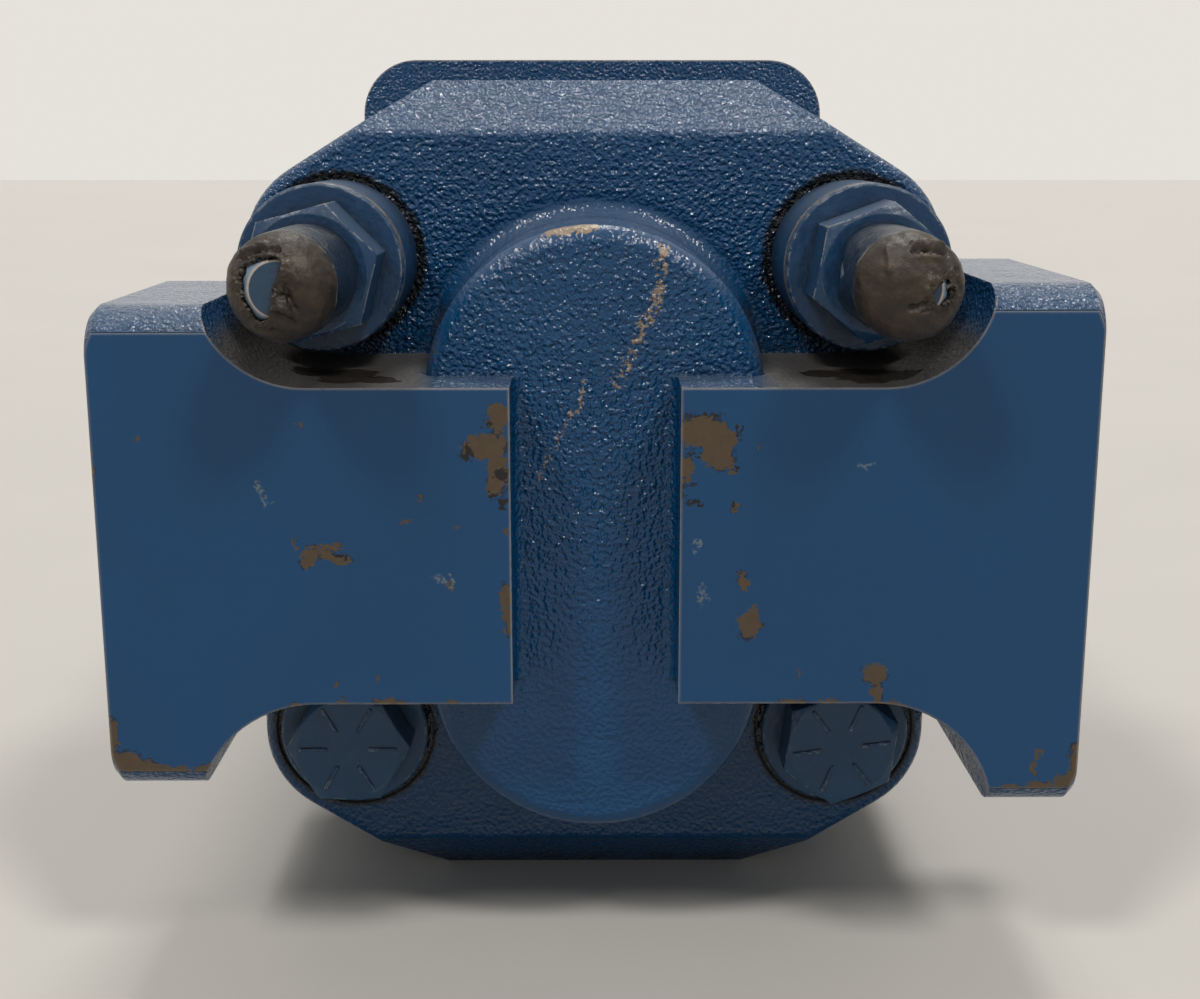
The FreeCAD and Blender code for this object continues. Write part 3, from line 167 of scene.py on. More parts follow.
class Finish:
    """A material and the nodes that are added to it."""

    def __init__(self, name):
        self.material = bpy.data.materials.new(name)
        self.material.use_nodes = True
        self.tree = self.material.node_tree
        self.tree.nodes.clear()

    def add(self, kind, settings, sockets, output=0):
        """Adds a node to the material. Terms among the values are linked."""
        values = {
            name: value.socket if isinstance(value, Term) else value
            for name, value in sockets.items()
        }
        made = add_node(self.tree, kind, settings, values, output)
        return Term(self, made) if made else None

    def vector(self, operation, first, second=None):
        """Vector maths. SCALE takes a number second, and LENGTH takes one vector alone."""
        sockets = {0: first}
        if second is not None:
            sockets["Scale" if operation == "SCALE" else 1] = second
        result = "Value" if operation in ("LENGTH", "DOT_PRODUCT") else 0
        return self.add("ShaderNodeVectorMath", {"operation": operation}, sockets, result)

    def millimetres(self):
        """The piece's own coordinates in millimetres."""
        place = self.add("ShaderNodeTexCoord", {}, {}, "Object")
        return self.vector("SCALE", place, PER_METRE)

    def facing(self):
        """The direction that the surface faces."""
        return self.add("ShaderNodeNewGeometry", {}, {}, "Normal")

    def split(self, vector):
        """The x, y and z of a vector."""
        parts = self.add("ShaderNodeSeparateXYZ", {}, {"Vector": vector})
        return parts, parts.out("Y"), parts.out("Z")

    def grain(self, place, scale, detail=3.0, rough=0.6, output="Fac"):
        """Noise with lumps about 1 / scale long, from 0 to 1."""
        return self.add(
            "ShaderNodeTexNoise",
            {},
            {"Vector": place, "Scale": scale, "Detail": detail, "Roughness": rough},
            output,
        )

    def voronoi(self, place, scale, output):
        """Cells about 1 / scale wide: how far their middles are, or one colour for each."""
        return self.add(
            "ShaderNodeTexVoronoi", {"feature": "F1"}, {"Vector": place, "Scale": scale}, output
        )

    def shift(self, place, scale, reach):
        """The place moved about by noise, which frays the outline of whatever is drawn there."""
        sway = self.grain(place, scale, output="Color")
        red = self.add("ShaderNodeSeparateColor", {}, {"Color": sway})
        centred = self.add(
            "ShaderNodeCombineXYZ",
            {},
            {"X": red - 0.5, "Y": red.out("Green") - 0.5, "Z": red.out("Blue") - 0.5},
        )
        return self.vector("ADD", place, self.vector("SCALE", centred, reach))

    def flaked(self, place, scale, reach):
        """The place moved in steps from patch to patch, which tears an outline into flakes."""
        patch = self.voronoi(place, scale, "Color")
        return self.vector("ADD", place, self.fitted(patch, [reach] * 3, [-reach / 2] * 3))

    def fitted(self, vector, scale, offset):
        """A vector times a scale plus an offset, each along its own axis."""
        return self.add(
            "ShaderNodeVectorMath",
            {"operation": "MULTIPLY_ADD"},
            {0: vector, 1: scale, 2: offset},
        )

    def layer(self, under, over, cover):
        """One colour laid over another where the cover is 1."""
        return self.add(
            "ShaderNodeMix",
            {"data_type": "RGBA", "blend_type": "MIX"},
            {MIX_FACTOR: cover, MIX_UNDER: under, MIX_OVER: over},
            MIX_RESULT,
        )

    def shade(self, tone, amount):
        """A colour made lighter or darker by a factor that varies, up to twice as light."""
        twice = (*(2 * part for part in tone[:3]), 1.0)
        return self.layer(BLACK, twice, amount * 0.5)

    def spots(self, place, marks):
        """How far a point is from the nearest mark, in the mark's own size: below 1 is inside.
        A mark is its middle, its half sizes along x, y and z, and its turn about y."""
        nearest = None
        for turn in sorted({turn for middle, reach, turn in marks}):
            turned = place
            if turn:
                turned = self.add(
                    "ShaderNodeVectorRotate",
                    {"rotation_type": "Y_AXIS"},
                    {"Vector": place, "Angle": -math.radians(turn)},
                )
            back = Matrix.Rotation(-math.radians(turn), 3, "Y")
            for middle, reach, own_turn in marks:
                if own_turn != turn:
                    continue
                centre = back @ Vector(middle)
                local = self.fitted(
                    turned,
                    [1 / part for part in reach],
                    [-at / part for at, part in zip(centre, reach)],
                )
                far = self.vector("LENGTH", local)
                nearest = far if nearest is None else nearest.least(far)
        return nearest

    def off_axis(self, across, up):
        """How far a point is from an axis, given how far across and above it the point is."""
        return self.vector("LENGTH", self.add("ShaderNodeCombineXYZ", {}, {"X": across, "Z": up}))

    def rounded(self, radius):
        """The surface's direction as if each edge were rounded."""
        settings = {"samples": EDGE_SAMPLES}
        return self.add("ShaderNodeBevel", settings, {"Radius": radius}, "Normal")

    def edges(self, soft):
        """1 where rounding turns the surface, along its edges, and 0 on its flats."""
        return (1.0 - self.vector("DOT_PRODUCT", soft, self.facing())).between(*EDGE_TURN)

    def openness(self, reach):
        """1 in the open and less in corners and narrow places."""
        settings = {"samples": CORNER_SAMPLES}
        return self.add("ShaderNodeAmbientOcclusion", settings, {"Distance": reach}, "AO")

    def surface(self, colour, roughness, height, normal=None, depth=1 / PER_METRE, **fixed):
        """Ends the material in one Principled shader with a bump. The depth is in metres for
        each 1 of height, so a height is in millimetres where no depth is given."""
        sockets = {"Height": height, "Distance": depth, "Strength": 1.0}
        if normal is not None:
            sockets["Normal"] = normal
        bump = self.add("ShaderNodeBump", {}, sockets)
        inputs = {"Base Color": colour, "Roughness": roughness, "Normal": bump}
        inputs.update({"Specular IOR Level": SHEEN, **fixed})
        shader = self.add("ShaderNodeBsdfPrincipled", {}, inputs)
        self.add("ShaderNodeOutputMaterial", {}, {"Surface": shader})
        return self.material


def dress(name, material):
    """Gives a node of the model its material."""
    for place in nodes[name].material_slots:
        place.material = material


def linear(red, green, blue):
    """A colour given in screen values, 0 to 255, as the shader takes it."""
    levels = []
    for value in (red, green, blue):
        share = value / 255
        levels.append(share / 12.92 if share <= 0.04045 else ((share + 0.055) / 1.055) ** 2.4)
    return (*levels, 1.0)


BLUE_PAINT = linear(2, 56, 94)
# Worn edges: the iron rubbed through, paler also as a painted highlight.
WORN_EDGE_AND_HIGHLIGHT = linear(150, 143, 131)
# Grime and painted shade for narrow corners.
GRIME_AND_SHADE = linear(24, 21, 18)
# Dust, and painted sheen on what faces upwards.
DUST_AND_SHEEN = linear(150, 152, 152)
# Edge radii and the reach of corners are in metres, places on the pump in millimetres.
CAST_EDGE = 0.0011
CAST_CORNER = 0.007
CAST_SPARKLE = 0.1
SATIN = 0.4
PIMPLES_A_MM = 0.95
COARSE_BELOW = -80.0
COARSE_ABOVE = 5.0
FLANGE_FACE = -0.1


def cast_skin(finish, place, smooth):
    """Height in millimetres of a sand-cast skin under paint, flat where it is machined."""
    pimples = finish.voronoi(place, PIMPLES_A_MM, "Distance")
    lumps = finish.grain(place, 1.0, 1.0, 0.5)
    swell = finish.grain(place, 0.13, 1.0, 0.5)
    height = finish.split(place)[2]
    coarse = 0.5 + height.between(COARSE_BELOW, COARSE_ABOVE) * 0.5
    rough = (lumps * 0.95 - pimples * 0.22) * coarse + swell * 0.6
    return rough * (1.0 - smooth * 0.98)


def blue_enamel(finish, place):
    """The paint's own colour, mottled and a little faded in patches."""
    patches = finish.grain(place, 0.028, 3.0, 0.55)
    mottle = finish.grain(place, 0.5, 2.0, 0.5)
    return finish.shade(BLUE_PAINT, 0.8 + patches * 0.3 + mottle * 0.1)


def dust_and_sheen_on_tops(finish, place, colour):
    """A thin pale veil on what faces upwards: dust, and painted sheen for the light on the tops."""
    rise = finish.split(finish.facing())[2]
    film = finish.grain(place, 0.07) * 0.25 + 0.05
    # Painted sheen and dust: faces that turn upwards are made paler.
    return finish.layer(colour, DUST_AND_SHEEN, rise.between(0.0, 1.2) * film)


def painted_iron(name, machined_from=None):
    """Blue enamel on cast iron, with grime and painted shade in its narrow corners, a pale veil of
    dust and painted sheen on its tops, and its edges rubbed through and lightened as a painted
    highlight. What lies past machined_from, in millimetres along the shaft, is smooth under the
    paint."""
    finish = Finish(name)
    place = finish.millimetres()
    smooth = 0.0
    if machined_from is not None:
        smooth = finish.split(place)[1].between(machined_from - 0.3, machined_from)
    soft = finish.rounded(CAST_EDGE)
    air = finish.openness(CAST_CORNER)
    colour = dust_and_sheen_on_tops(finish, place, blue_enamel(finish, place))
    # Painted shade and grime: darker in narrow corners.
    corner_shade_and_grime = (1.0 - air).between(0.3, 0.75) * finish.grain(place, 0.25).between(0.3, 0.6)
    colour = finish.layer(colour, GRIME_AND_SHADE, corner_shade_and_grime * 0.85)
    rubbed = finish.grain(place, 0.35, 4.0, 0.65).between(0.38, 0.44)
    # Worn edges, rubbed through and lightened as a painted highlight.
    worn_lit_edge = finish.edges(soft) * air.between(0.7, 0.9) * rubbed
    colour = finish.layer(colour, WORN_EDGE_AND_HIGHLIGHT, worn_lit_edge * 0.85)
    gloss = CAST_SPARKLE + smooth * (SATIN - CAST_SPARKLE) + corner_shade_and_grime * 0.3 + worn_lit_edge * 0.2
    return finish.surface(colour, gloss, cast_skin(finish, place, smooth), soft)


dress("shaft_end_cover", painted_iron("blue_shaft_end_cover", FLANGE_FACE))
dress("gear_housing", painted_iron("blue_gear_housing"))


# The port end cover: the same blue iron with two port blocks. Their faces are milled and lie
# smooth under the paint, which is chipped to the metal; grease has run down below the studs.
BARE_IRON = linear(68, 55, 40)
CHIP_SHADOW = linear(10, 16, 24)
SCALE_BLACK = linear(14, 13, 12)
SCUFF_GREY = linear(104, 112, 108)
SCRATCHED_IRON = linear(132, 114, 92)
DRY_GREASE = linear(78, 73, 67)
WET_OIL = linear(40, 34, 26)
# Grease and painted shade in the spotfaces.
SPOTFACE_GREASE_AND_SHADE = linear(12, 13, 15)
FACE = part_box("port_end_cover")[0].y * PER_METRE
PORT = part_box("port_end_cover")[1].x * PER_METRE
COVER_EDGE = 0.0009
MILLED_FROM = 0.25
MILLED_AT = 0.1
BOSS_FACE = -252.2
BOSS_REACH = 33.9
BOSS_DROP = 57.15
BOSS_FOOT = (-224.0, -220.0)
BOSS_FRONT = (-248.0, -250.0)
BOSS_EDGE = (-249.5, -251.5)
BOSS_BOTTOM = (-60.0, -75.0)
STUD_X = 54.75
STUD_Z = 24.9
LOWER_Z = -82.1
SPOTFACE = 17.6
SPOTFACE_FLOOR = (-221.0, -219.5)
LEDGE_INNER = (34.0, 41.0)
LEDGE_OUTER = (92.0, 84.0)
LEDGE_TOP = (19.0, 13.0)
LEDGE_BACK = (-212.0, -218.0)
DEEP = 4.0


def on_face(face, rows):
    """Marks on a flat face, given as x, z, half width, half height and turn."""
    return [((x, face, z), (wide, DEEP, high), turn) for x, z, wide, high, turn in rows]


CHIPS = on_face(FACE, [
    (-18.4, -1.3, 1.9, 2.7, 0), (-21.1, -6.6, 4.2, 2.4, -10), (-18.7, -11.3, 2.1, 4.6, 0),
    (-19.1, -14.4, 1.7, 1.9, 0), (-55.0, -28.5, 1.5, 2.5, 20), (-50.2, -28.3, 3.5, 1.1, 20),
    (-51.5, -26.3, 2.7, 0.4, 0), (-58.0, -25.9, 0.4, 1.6, -20), (-55.9, -2.8, 0.7, 0.5, 0),
    (-86.5, -5.2, 0.4, 0.8, 0), (-33.3, -16.5, 0.7, 0.5, 0), (-36.2, -21.6, 1.0, 0.3, 0),
    (-26.1, -21.8, 0.7, 0.3, 0), (-28.1, -34.1, 0.5, 1.2, 0), (-17.4, -36.9, 1.4, 3.2, 0),
    (-17.0, -41.3, 0.8, 2.8, 0), (-16.9, -23.2, 0.6, 1.0, 0), (-42.7, -52.7, 0.4, 0.7, 0),
    (-50.7, -53.7, 0.3, 0.8, 0), (-49.6, -57.6, 0.6, 1.1, 0), (-40.7, -57.9, 2.4, 1.0, 0),
    (-38.1, -58.0, 1.8, 0.8, 0), (-28.1, -57.8, 1.0, 0.6, 0), (-58.9, -58.8, 1.2, 0.9, -30),
    (-94.9, -65.5, 1.1, 4.6, 0), (-92.6, -70.2, 3.2, 2.3, 0), (-88.0, -71.2, 3.0, 1.6, 0),
    (-82.9, -71.9, 4.2, 0.9, 0), (-76.5, -71.7, 2.8, 0.8, 0), (-95.4, -10.6, 0.5, 3.5, 0),
    (20.2, -4.0, 4.6, 3.2, 0), (24.4, -5.5, 2.6, 3.0, 0), (23.0, -8.8, 3.0, 2.3, 20),
    (17.2, -11.3, 1.3, 2.5, 0), (26.5, -11.3, 0.8, 0.6, 0), (26.8, -18.7, 0.8, 0.9, 0),
    (31.2, -6.7, 0.4, 0.6, 0), (28.5, -33.4, 1.2, 1.8, -20), (29.8, -41.8, 2.3, 2.7, 0),
    (31.1, -38.8, 0.5, 1.2, 0), (54.6, -51.9, 2.3, 2.2, 0), (55.0, -56.2, 0.9, 2.2, 0),
    (39.6, -52.0, 0.2, 1.2, 0), (39.1, -57.9, 2.8, 0.8, 0), (45.6, -58.0, 2.0, 0.6, 0),
    (57.8, -58.4, 3.2, 0.9, 8), (63.4, -61.5, 1.0, 1.5, 0), (71.0, -68.2, 1.1, 1.6, -45),
    (73.0, -71.8, 0.9, 2.2, -25), (95.0, -70.4, 1.0, 3.8, 0), (93.0, -74.2, 2.8, 1.6, -25),
    (88.2, -75.4, 3.2, 0.9, 0), (82.6, -75.6, 2.4, 0.7, 0), (87.5, -69.3, 0.4, 2.1, 25),
    (86.7, -72.0, 0.5, 1.3, 0),
])
BLACK_BITS = on_face(FACE, [
    (-20.3, -2.4, 1.3, 0.35, -20), (-24.1, -8.0, 0.9, 1.4, 0), (-17.6, -12.2, 1.1, 1.5, 0),
    (-19.9, -16.3, 0.9, 0.7, 0), (-17.6, -17.9, 1.0, 0.8, 0), (20.5, -0.9, 4.1, 0.25, 0),
    (27.0, -3.8, 0.4, 1.7, -20), (26.9, -10.7, 0.7, 0.5, 0), (18.6, -8.4, 1.5, 0.4, 15),
    (16.8, -15.6, 0.35, 1.7, 0), (18.6, -17.7, 1.7, 0.4, 0), (18.4, -14.4, 1.2, 0.2, 0),
    (26.3, -18.3, 0.35, 0.6, 0), (-49.0, -28.0, 1.4, 0.6, 20),
])
SCUFFS = on_face(FACE, [
    (-64.1, -14.5, 0.7, 1.5, -10), (-62.9, -17.2, 0.9, 1.8, -20), (51.2, -10.6, 1.8, 0.6, -10),
    (19.5, -26.0, 0.5, 1.6, 0), (20.5, -36.0, 1.2, 2.2, 0), (-29.0, -33.0, 2.6, 1.4, 10),
])
RUBS = on_face(BOSS_FACE, [
    (-7.2, 33.0, 3.4, 1.5, -12), (-2.2, 33.6, 3.6, 1.4, -5), (13.0, 28.7, 1.2, 0.9, 0),
])
SCRATCHES = on_face(BOSS_FACE, [
    (12.8, 26.4, 1.1, 2.8, 2), (12.1, 21.0, 1.3, 3.5, 4), (10.4, 15.8, 1.5, 2.6, 35),
    (8.2, 11.2, 1.4, 2.8, 15), (6.0, 6.6, 1.2, 2.8, 38), (4.2, 3.4, 1.9, 1.0, 0),
    (-2.6, 1.4, 0.4, 2.4, 5), (-4.5, -3.3, 0.5, 3.1, 35), (-8.0, -9.3, 0.4, 4.2, 27),
    (-10.6, -14.7, 0.3, 2.2, 22),
])
OIL = [
    ((-49.0, -252.0, 5.0), (6.5, 11.0, 8.0), 0), ((-56.0, -246.0, 5.0), (4.5, 7.0, 8.0), 0),
    ((-42.0, -257.0, 5.0), (4.0, 5.0, 8.0), 0), ((53.0, -252.0, 5.0), (6.5, 11.0, 8.0), 0),
    ((45.0, -249.0, 5.0), (4.5, 6.0, 8.0), 0), ((60.0, -256.0, 5.0), (3.5, 5.0, 8.0), 0),
]
SPOTFACES = [
    ((side * STUD_X, -217.0, height), (SPOTFACE, 40.0, SPOTFACE), 0)
    for side in (-1, 1) for height in (STUD_Z, LOWER_Z)
]


def port_cover_paint():
    """Painted iron again, with what years of use have left on this casting."""
    finish = Finish("blue_port_end_cover")
    place = finish.millimetres()
    x, y, z = finish.split(place)
    face = y.between(FACE + MILLED_FROM, FACE + MILLED_AT)
    smooth = face.most(x.size().between(PORT - MILLED_FROM, PORT - MILLED_AT))
    above_axes = z - z.least(0.0).most(-BOSS_DROP)
    from_boss = finish.off_axis(x, above_axes)
    foot = from_boss.between(BOSS_REACH + 6.0, BOSS_REACH + 2.5) * y.between(*BOSS_FOOT)
    rim = from_boss.between(BOSS_REACH - 3.4, BOSS_REACH - 1.6) * (1.0 - foot)
    calm = foot.most(rim * from_boss.between(BOSS_REACH + 1.0, BOSS_REACH + 0.2))
    soft = finish.rounded(COVER_EDGE)
    air = finish.openness(CAST_CORNER)
    colour = dust_and_sheen_on_tops(finish, place, blue_enamel(finish, place))

    # Grime and painted shade in the corners, darker where they are narrow.
    corner_shade_and_grime = (1.0 - air).between(0.42, 0.85) * finish.grain(place, 0.25).between(0.3, 0.6)
    colour = finish.layer(colour, GRIME_AND_SHADE, corner_shade_and_grime * 0.85)

    # Grease and oil on the ledges below the studs, and a black ring round each bolt that stands
    # for grease and painted shade in the spotface.
    rise = finish.split(finish.facing())[2]
    wander = finish.grain(place, 0.12)
    inner = (x.size() + wander * 10.0).between(*LEDGE_INNER)
    outer = (x.size() + wander * 8.0).between(*LEDGE_OUTER)
    below = (z + wander * 4.0).between(*LEDGE_TOP)
    grease = rise.between(0.05, 0.25) * inner * outer * below * y.between(*LEDGE_BACK)
    grease = grease * (1.0 - face)
    colour = finish.layer(colour, DRY_GREASE, grease * 0.9)
    frayed = finish.shift(place, 0.25, 7.0)
    oil = grease * finish.spots(frayed, OIL).between(1.05, 0.85)
    colour = finish.layer(colour, WET_OIL, oil * (0.5 + wander * 0.6))
    # The spotface ring: grease and painted shade round each bolt.
    from_bolt = finish.spots(finish.shift(place, 0.6, 2.4), SPOTFACES)
    ring = from_bolt.between(1.1, 1.03) * y.between(*SPOTFACE_FLOOR)
    ring = ring * (1.0 - rise.between(0.3, 0.6))
    colour = finish.layer(colour, SPOTFACE_GREASE_AND_SHADE, ring * 0.9)

    # Chips down to the iron on the milled faces, with a painted shadow along their border.
    ragged = finish.flaked(finish.shift(place, 0.5, 2.0), 1.2, 1.1)
    from_chip = finish.spots(ragged, CHIPS)
    chip = from_chip.between(1.04, 0.94) * face
    # Painted shadow along the chips' border.
    chip_border_shadow = from_chip.between(1.3, 1.02) * finish.grain(place, 0.45, 2.0, 0.5).between(0.5, 0.56)
    colour = finish.layer(colour, CHIP_SHADOW, chip_border_shadow * face * 0.85)
    iron = finish.shade(BARE_IRON, 0.75 + finish.grain(place, 0.6) * 0.5)
    colour = finish.layer(colour, iron, chip)
    black = finish.spots(ragged, BLACK_BITS).between(1.04, 0.94) * face
    colour = finish.layer(colour, SCALE_BLACK, black)
    scuff = finish.spots(ragged, SCUFFS).between(1.1, 0.7) * face
    scuff = scuff * finish.grain(place, 1.4, 2.0, 0.6).between(0.42, 0.62)
    colour = finish.layer(colour, SCUFF_GREY, scuff * 0.6)

    # The long scratch and the rubbed spots on the boss.
    crumbs = finish.grain(place, 1.1, rough=0.65).between(0.48, 0.56)
    scratch = finish.spots(ragged, SCRATCHES).between(1.25, 0.7) * crumbs
    rub = finish.spots(ragged, RUBS).between(1.1, 0.9)
    scratch = scratch.most(rub) * y.between(*BOSS_FRONT) * (1.0 - face)
    colour = finish.layer(colour, SCRATCHED_IRON, scratch * 0.9)

    # Edges rubbed through, most of all round the milled faces, and lightened as a painted
    # highlight.
    at_face = y.between(FACE + 2.6, FACE + 1.4)
    at_boss = y.between(*BOSS_EDGE) * z.between(*BOSS_BOTTOM)
    luck = finish.grain(place, 0.3, 4.0, 0.65)
    rubbed = (luck + at_face * 0.34 + at_boss * 0.16).between(0.6, 0.68)
    # Worn edges, rubbed through and lightened as a painted highlight.
    worn_lit_edge = finish.edges(soft) * air.between(0.62, 0.85) * rubbed
    colour = finish.layer(colour, WORN_EDGE_AND_HIGHLIGHT, worn_lit_edge * 0.9)

    gloss = CAST_SPARKLE + smooth * (SATIN - CAST_SPARKLE) + corner_shade_and_grime * 0.3 + grease * 0.32
    gloss = gloss + chip * 0.12 + scratch * 0.2 - oil * 0.2
    height = cast_skin(finish, place, smooth.most(calm * 0.7).most(grease * 0.62))
    return finish.surface(colour, gloss, height, soft)


dress("port_end_cover", port_cover_paint())


# The studs, collars, washers and nuts of the upper pair: turned and forged steel, sprayed with
# the castings. Spanners and sockets have rubbed the paint off their corners, which are also drawn
# paler as a painted highlight.
FASTENER_EDGE = 0.0006
FASTENER_CORNER = 0.004
FASTENER_PAINT = linear(8, 48, 80)
STUD_PAINT = linear(34, 56, 76)
PAINT_SMEAR = linear(52, 78, 100)
# Rubbed steel on the edges, paler also as a painted highlight.
RUBBED_STEEL_AND_HIGHLIGHT = linear(168, 168, 164)
JOINT_RUB = linear(118, 104, 84)
JOINT_DARK = linear(8, 8, 9)
POINT_STEEL = linear(108, 128, 146)
POINT_RIM = linear(164, 148, 134)
WASHER_JOINT = -241.4
POINT_RADIUS = 5.0
POINT_END = (-285.0, -287.0)


def painted_steel(name, wear, tone, own_marks=None):
    """Sprayed steel, its edges rubbed to the steel and lightened as a painted highlight. Own
    marks are what only some pieces have.
    """
    finish = Finish(name)
    place = finish.millimetres()
    soft = finish.rounded(FASTENER_EDGE)
    air = finish.openness(FASTENER_CORNER)
    patches = finish.grain(place, 0.12)
    colour = dust_and_sheen_on_tops(finish, place, finish.shade(tone, 0.75 + patches * 0.5))
    drawn = finish.vector("MULTIPLY", place, (0.25, 1.0, 0.25))
    smear = finish.grain(drawn, 0.5).between(0.55, 0.75)
    colour = finish.layer(colour, PAINT_SMEAR, smear * 0.35)
    if own_marks:
        colour = own_marks(finish, place, colour)
    # Painted shade and grime: darker in narrow corners.
    corner_shade_and_grime = (1.0 - air).between(0.35, 0.75)
    colour = finish.layer(colour, GRIME_AND_SHADE, corner_shade_and_grime * 0.9)
    luck = finish.grain(place, 0.45, 4.0, 0.7).between(0.62 - wear, 0.68 - wear)
    # Worn edges, rubbed to the steel and lightened as a painted highlight.
    worn_lit_edge = finish.edges(soft) * air.between(0.55, 0.8) * luck
    colour = finish.layer(colour, RUBBED_STEEL_AND_HIGHLIGHT, worn_lit_edge * 0.95)
    gloss = 0.3 + corner_shade_and_grime * 0.3 + worn_lit_edge * 0.1 + smear * 0.15
    fine = finish.grain(place, 0.8, rough=0.55)
    height = fine * 0.1 + finish.grain(place, 0.2, 2.0, 0.5) * 0.2
    return finish.surface(colour, gloss, height, soft)


def joint_line(finish, place, colour):
    """The dark gap between a washer and its collar, with the paint rubbed off beside it."""
    from_joint = (finish.split(place)[1] - WASHER_JOINT).size()
    rubbed = from_joint.between(1.9, 1.1) * finish.grain(place, 0.3).between(0.4, 0.52)
    colour = finish.layer(colour, JOINT_RUB, rubbed * 0.8)
    return finish.layer(colour, JOINT_DARK, from_joint.between(0.75, 0.45))


def point_rub(finish, place, colour):
    """The rubbed rim round the flat end of a stud."""
    x, y, z = finish.split(place)
    far = finish.off_axis(x.size() - STUD_X, z - STUD_Z)
    colour = finish.layer(
        colour, POINT_STEEL, far.between(POINT_RADIUS - 0.3, POINT_RADIUS + 0.3)
    )
    rim = (far - POINT_RADIUS).size().between(0.3, 0.1) * y.between(*POINT_END)
    return finish.layer(colour, POINT_RIM, rim * 0.9)


nut_paint = painted_steel("blue_nuts", 0.15, FASTENER_PAINT)
ring_paint = painted_steel("blue_washers", 0.14, FASTENER_PAINT, joint_line)
stud_paint = painted_steel("blue_studs", 0.2, STUD_PAINT, point_rub)
for side in ("left", "right"):
    dress(side + "_nut", nut_paint)
    dress(side + "_collar", ring_paint)
    dress(side + "_nut_washer", ring_paint)
    dress(side + "_stud", stud_paint)


# The lower pair: hexagon head cap screws on thick washers. Six short bars stand up on each head
# as the grade's mark, forged with it, one to each corner.
SCREW_PAINT = linear(28, 66, 98)
MARKS_PER_HEAD = 6
MARK_INNER = 0.0046
MARK_OUTER = 0.0108
MARK_WIDTH = 0.0007
MARK_HEIGHT = 0.00035
HEAD_TURNS = {"left": math.radians(0.0), "right": math.radians(-7.0)}

screw_paint = painted_steel("blue_cap_screws", 0.1, SCREW_PAINT)
for side in ("left", "right"):
    dress(side + "_cap_screw", screw_paint)
    dress(side + "_screw_washer", screw_paint)


def mark_tree():
    """Bars that stand round a point, made once as a tree with its sizes as inputs."""
    tree = bpy.data.node_groups.new("grade_marks", "GeometryNodeTree")
    face = tree.interface
    face.new_socket("Geometry", in_out="OUTPUT", socket_type="NodeSocketGeometry")
    sizes = {}
    for label, kind in (
        ("Count", "NodeSocketInt"), ("Inner", "NodeSocketFloat"), ("Outer", "NodeSocketFloat"),
        ("Width", "NodeSocketFloat"), ("Height", "NodeSocketFloat"), ("Turn", "NodeSocketFloat"),
        ("Place", "NodeSocketVector"), ("Paint", "NodeSocketMaterial"),
    ):
        sizes[label] = face.new_socket(label, in_out="INPUT", socket_type=kind).identifier
    entry = tree.nodes.new("NodeGroupInput").outputs

    def step(kind, **sockets):
        named = {name.replace("_", " "): value for name, value in sockets.items()}
        return add_node(tree, kind, {}, named)

    def math_of(operation, first, second):
        return add_node(tree, "ShaderNodeMath", {"operation": operation}, {0: first, 1: second})

    length = math_of("SUBTRACT", entry["Outer"], entry["Inner"])
    middle = math_of("MULTIPLY", math_of("ADD", entry["Outer"], entry["Inner"]), 0.5)
    thick = math_of("MULTIPLY", entry["Height"], 2.0)
    size = step("ShaderNodeCombineXYZ", X=length, Y=thick, Z=entry["Width"])
    bar = step("GeometryNodeMeshCube", Size=size, Vertices_X=6, Vertices_Y=3, Vertices_Z=3)
    away = step("ShaderNodeCombineXYZ", X=middle)
    bar = step("GeometryNodeTransform", Geometry=bar, Translation=away)
    line = step("GeometryNodeMeshLine", Count=entry["Count"], Offset=(0.0, 0.0, 0.0))
    share = math_of("DIVIDE", 2.0 * math.pi, entry["Count"])
    turned = math_of("MULTIPLY", step("GeometryNodeInputIndex"), share)
    spin = step("ShaderNodeCombineXYZ", Y=math_of("ADD", turned, entry["Turn"]))
    ring = step("GeometryNodeInstanceOnPoints", Points=line, Instance=bar, Rotation=spin)
    placed = step("GeometryNodeTransform", Geometry=ring, Translation=entry["Place"])
    real = step("GeometryNodeRealizeInstances", Geometry=placed)
    painted = step("GeometryNodeSetMaterial", Geometry=real, Material=entry["Paint"])
    step("NodeGroupOutput", Geometry=painted)
    return tree, sizes


def grown(name, tree, sizes, values):
    """Runs a tree once and keeps what it makes as a plain mesh."""
    seed = bpy.data.meshes.new(name + "_seed")
    carrier = bpy.data.objects.new(name + "_seed", seed)
    bpy.context.scene.collection.objects.link(carrier)
    modifier = carrier.modifiers.new("grow", "NODES")
    modifier.node_group = tree
    for label, value in values.items():
        modifier[sizes[label]] = value
    graph = bpy.context.evaluated_depsgraph_get()
    mesh = bpy.data.meshes.new_from_object(carrier.evaluated_get(graph))
    carrier.modifiers.remove(modifier)
    bpy.data.objects.remove(carrier)
    return mesh


def placed_object(name, mesh):
    """An object at the origin that shows a mesh under its own name."""
    mesh.name = name
    piece = bpy.data.objects.new(name, mesh)
    bpy.context.scene.collection.objects.link(piece)
    return piece


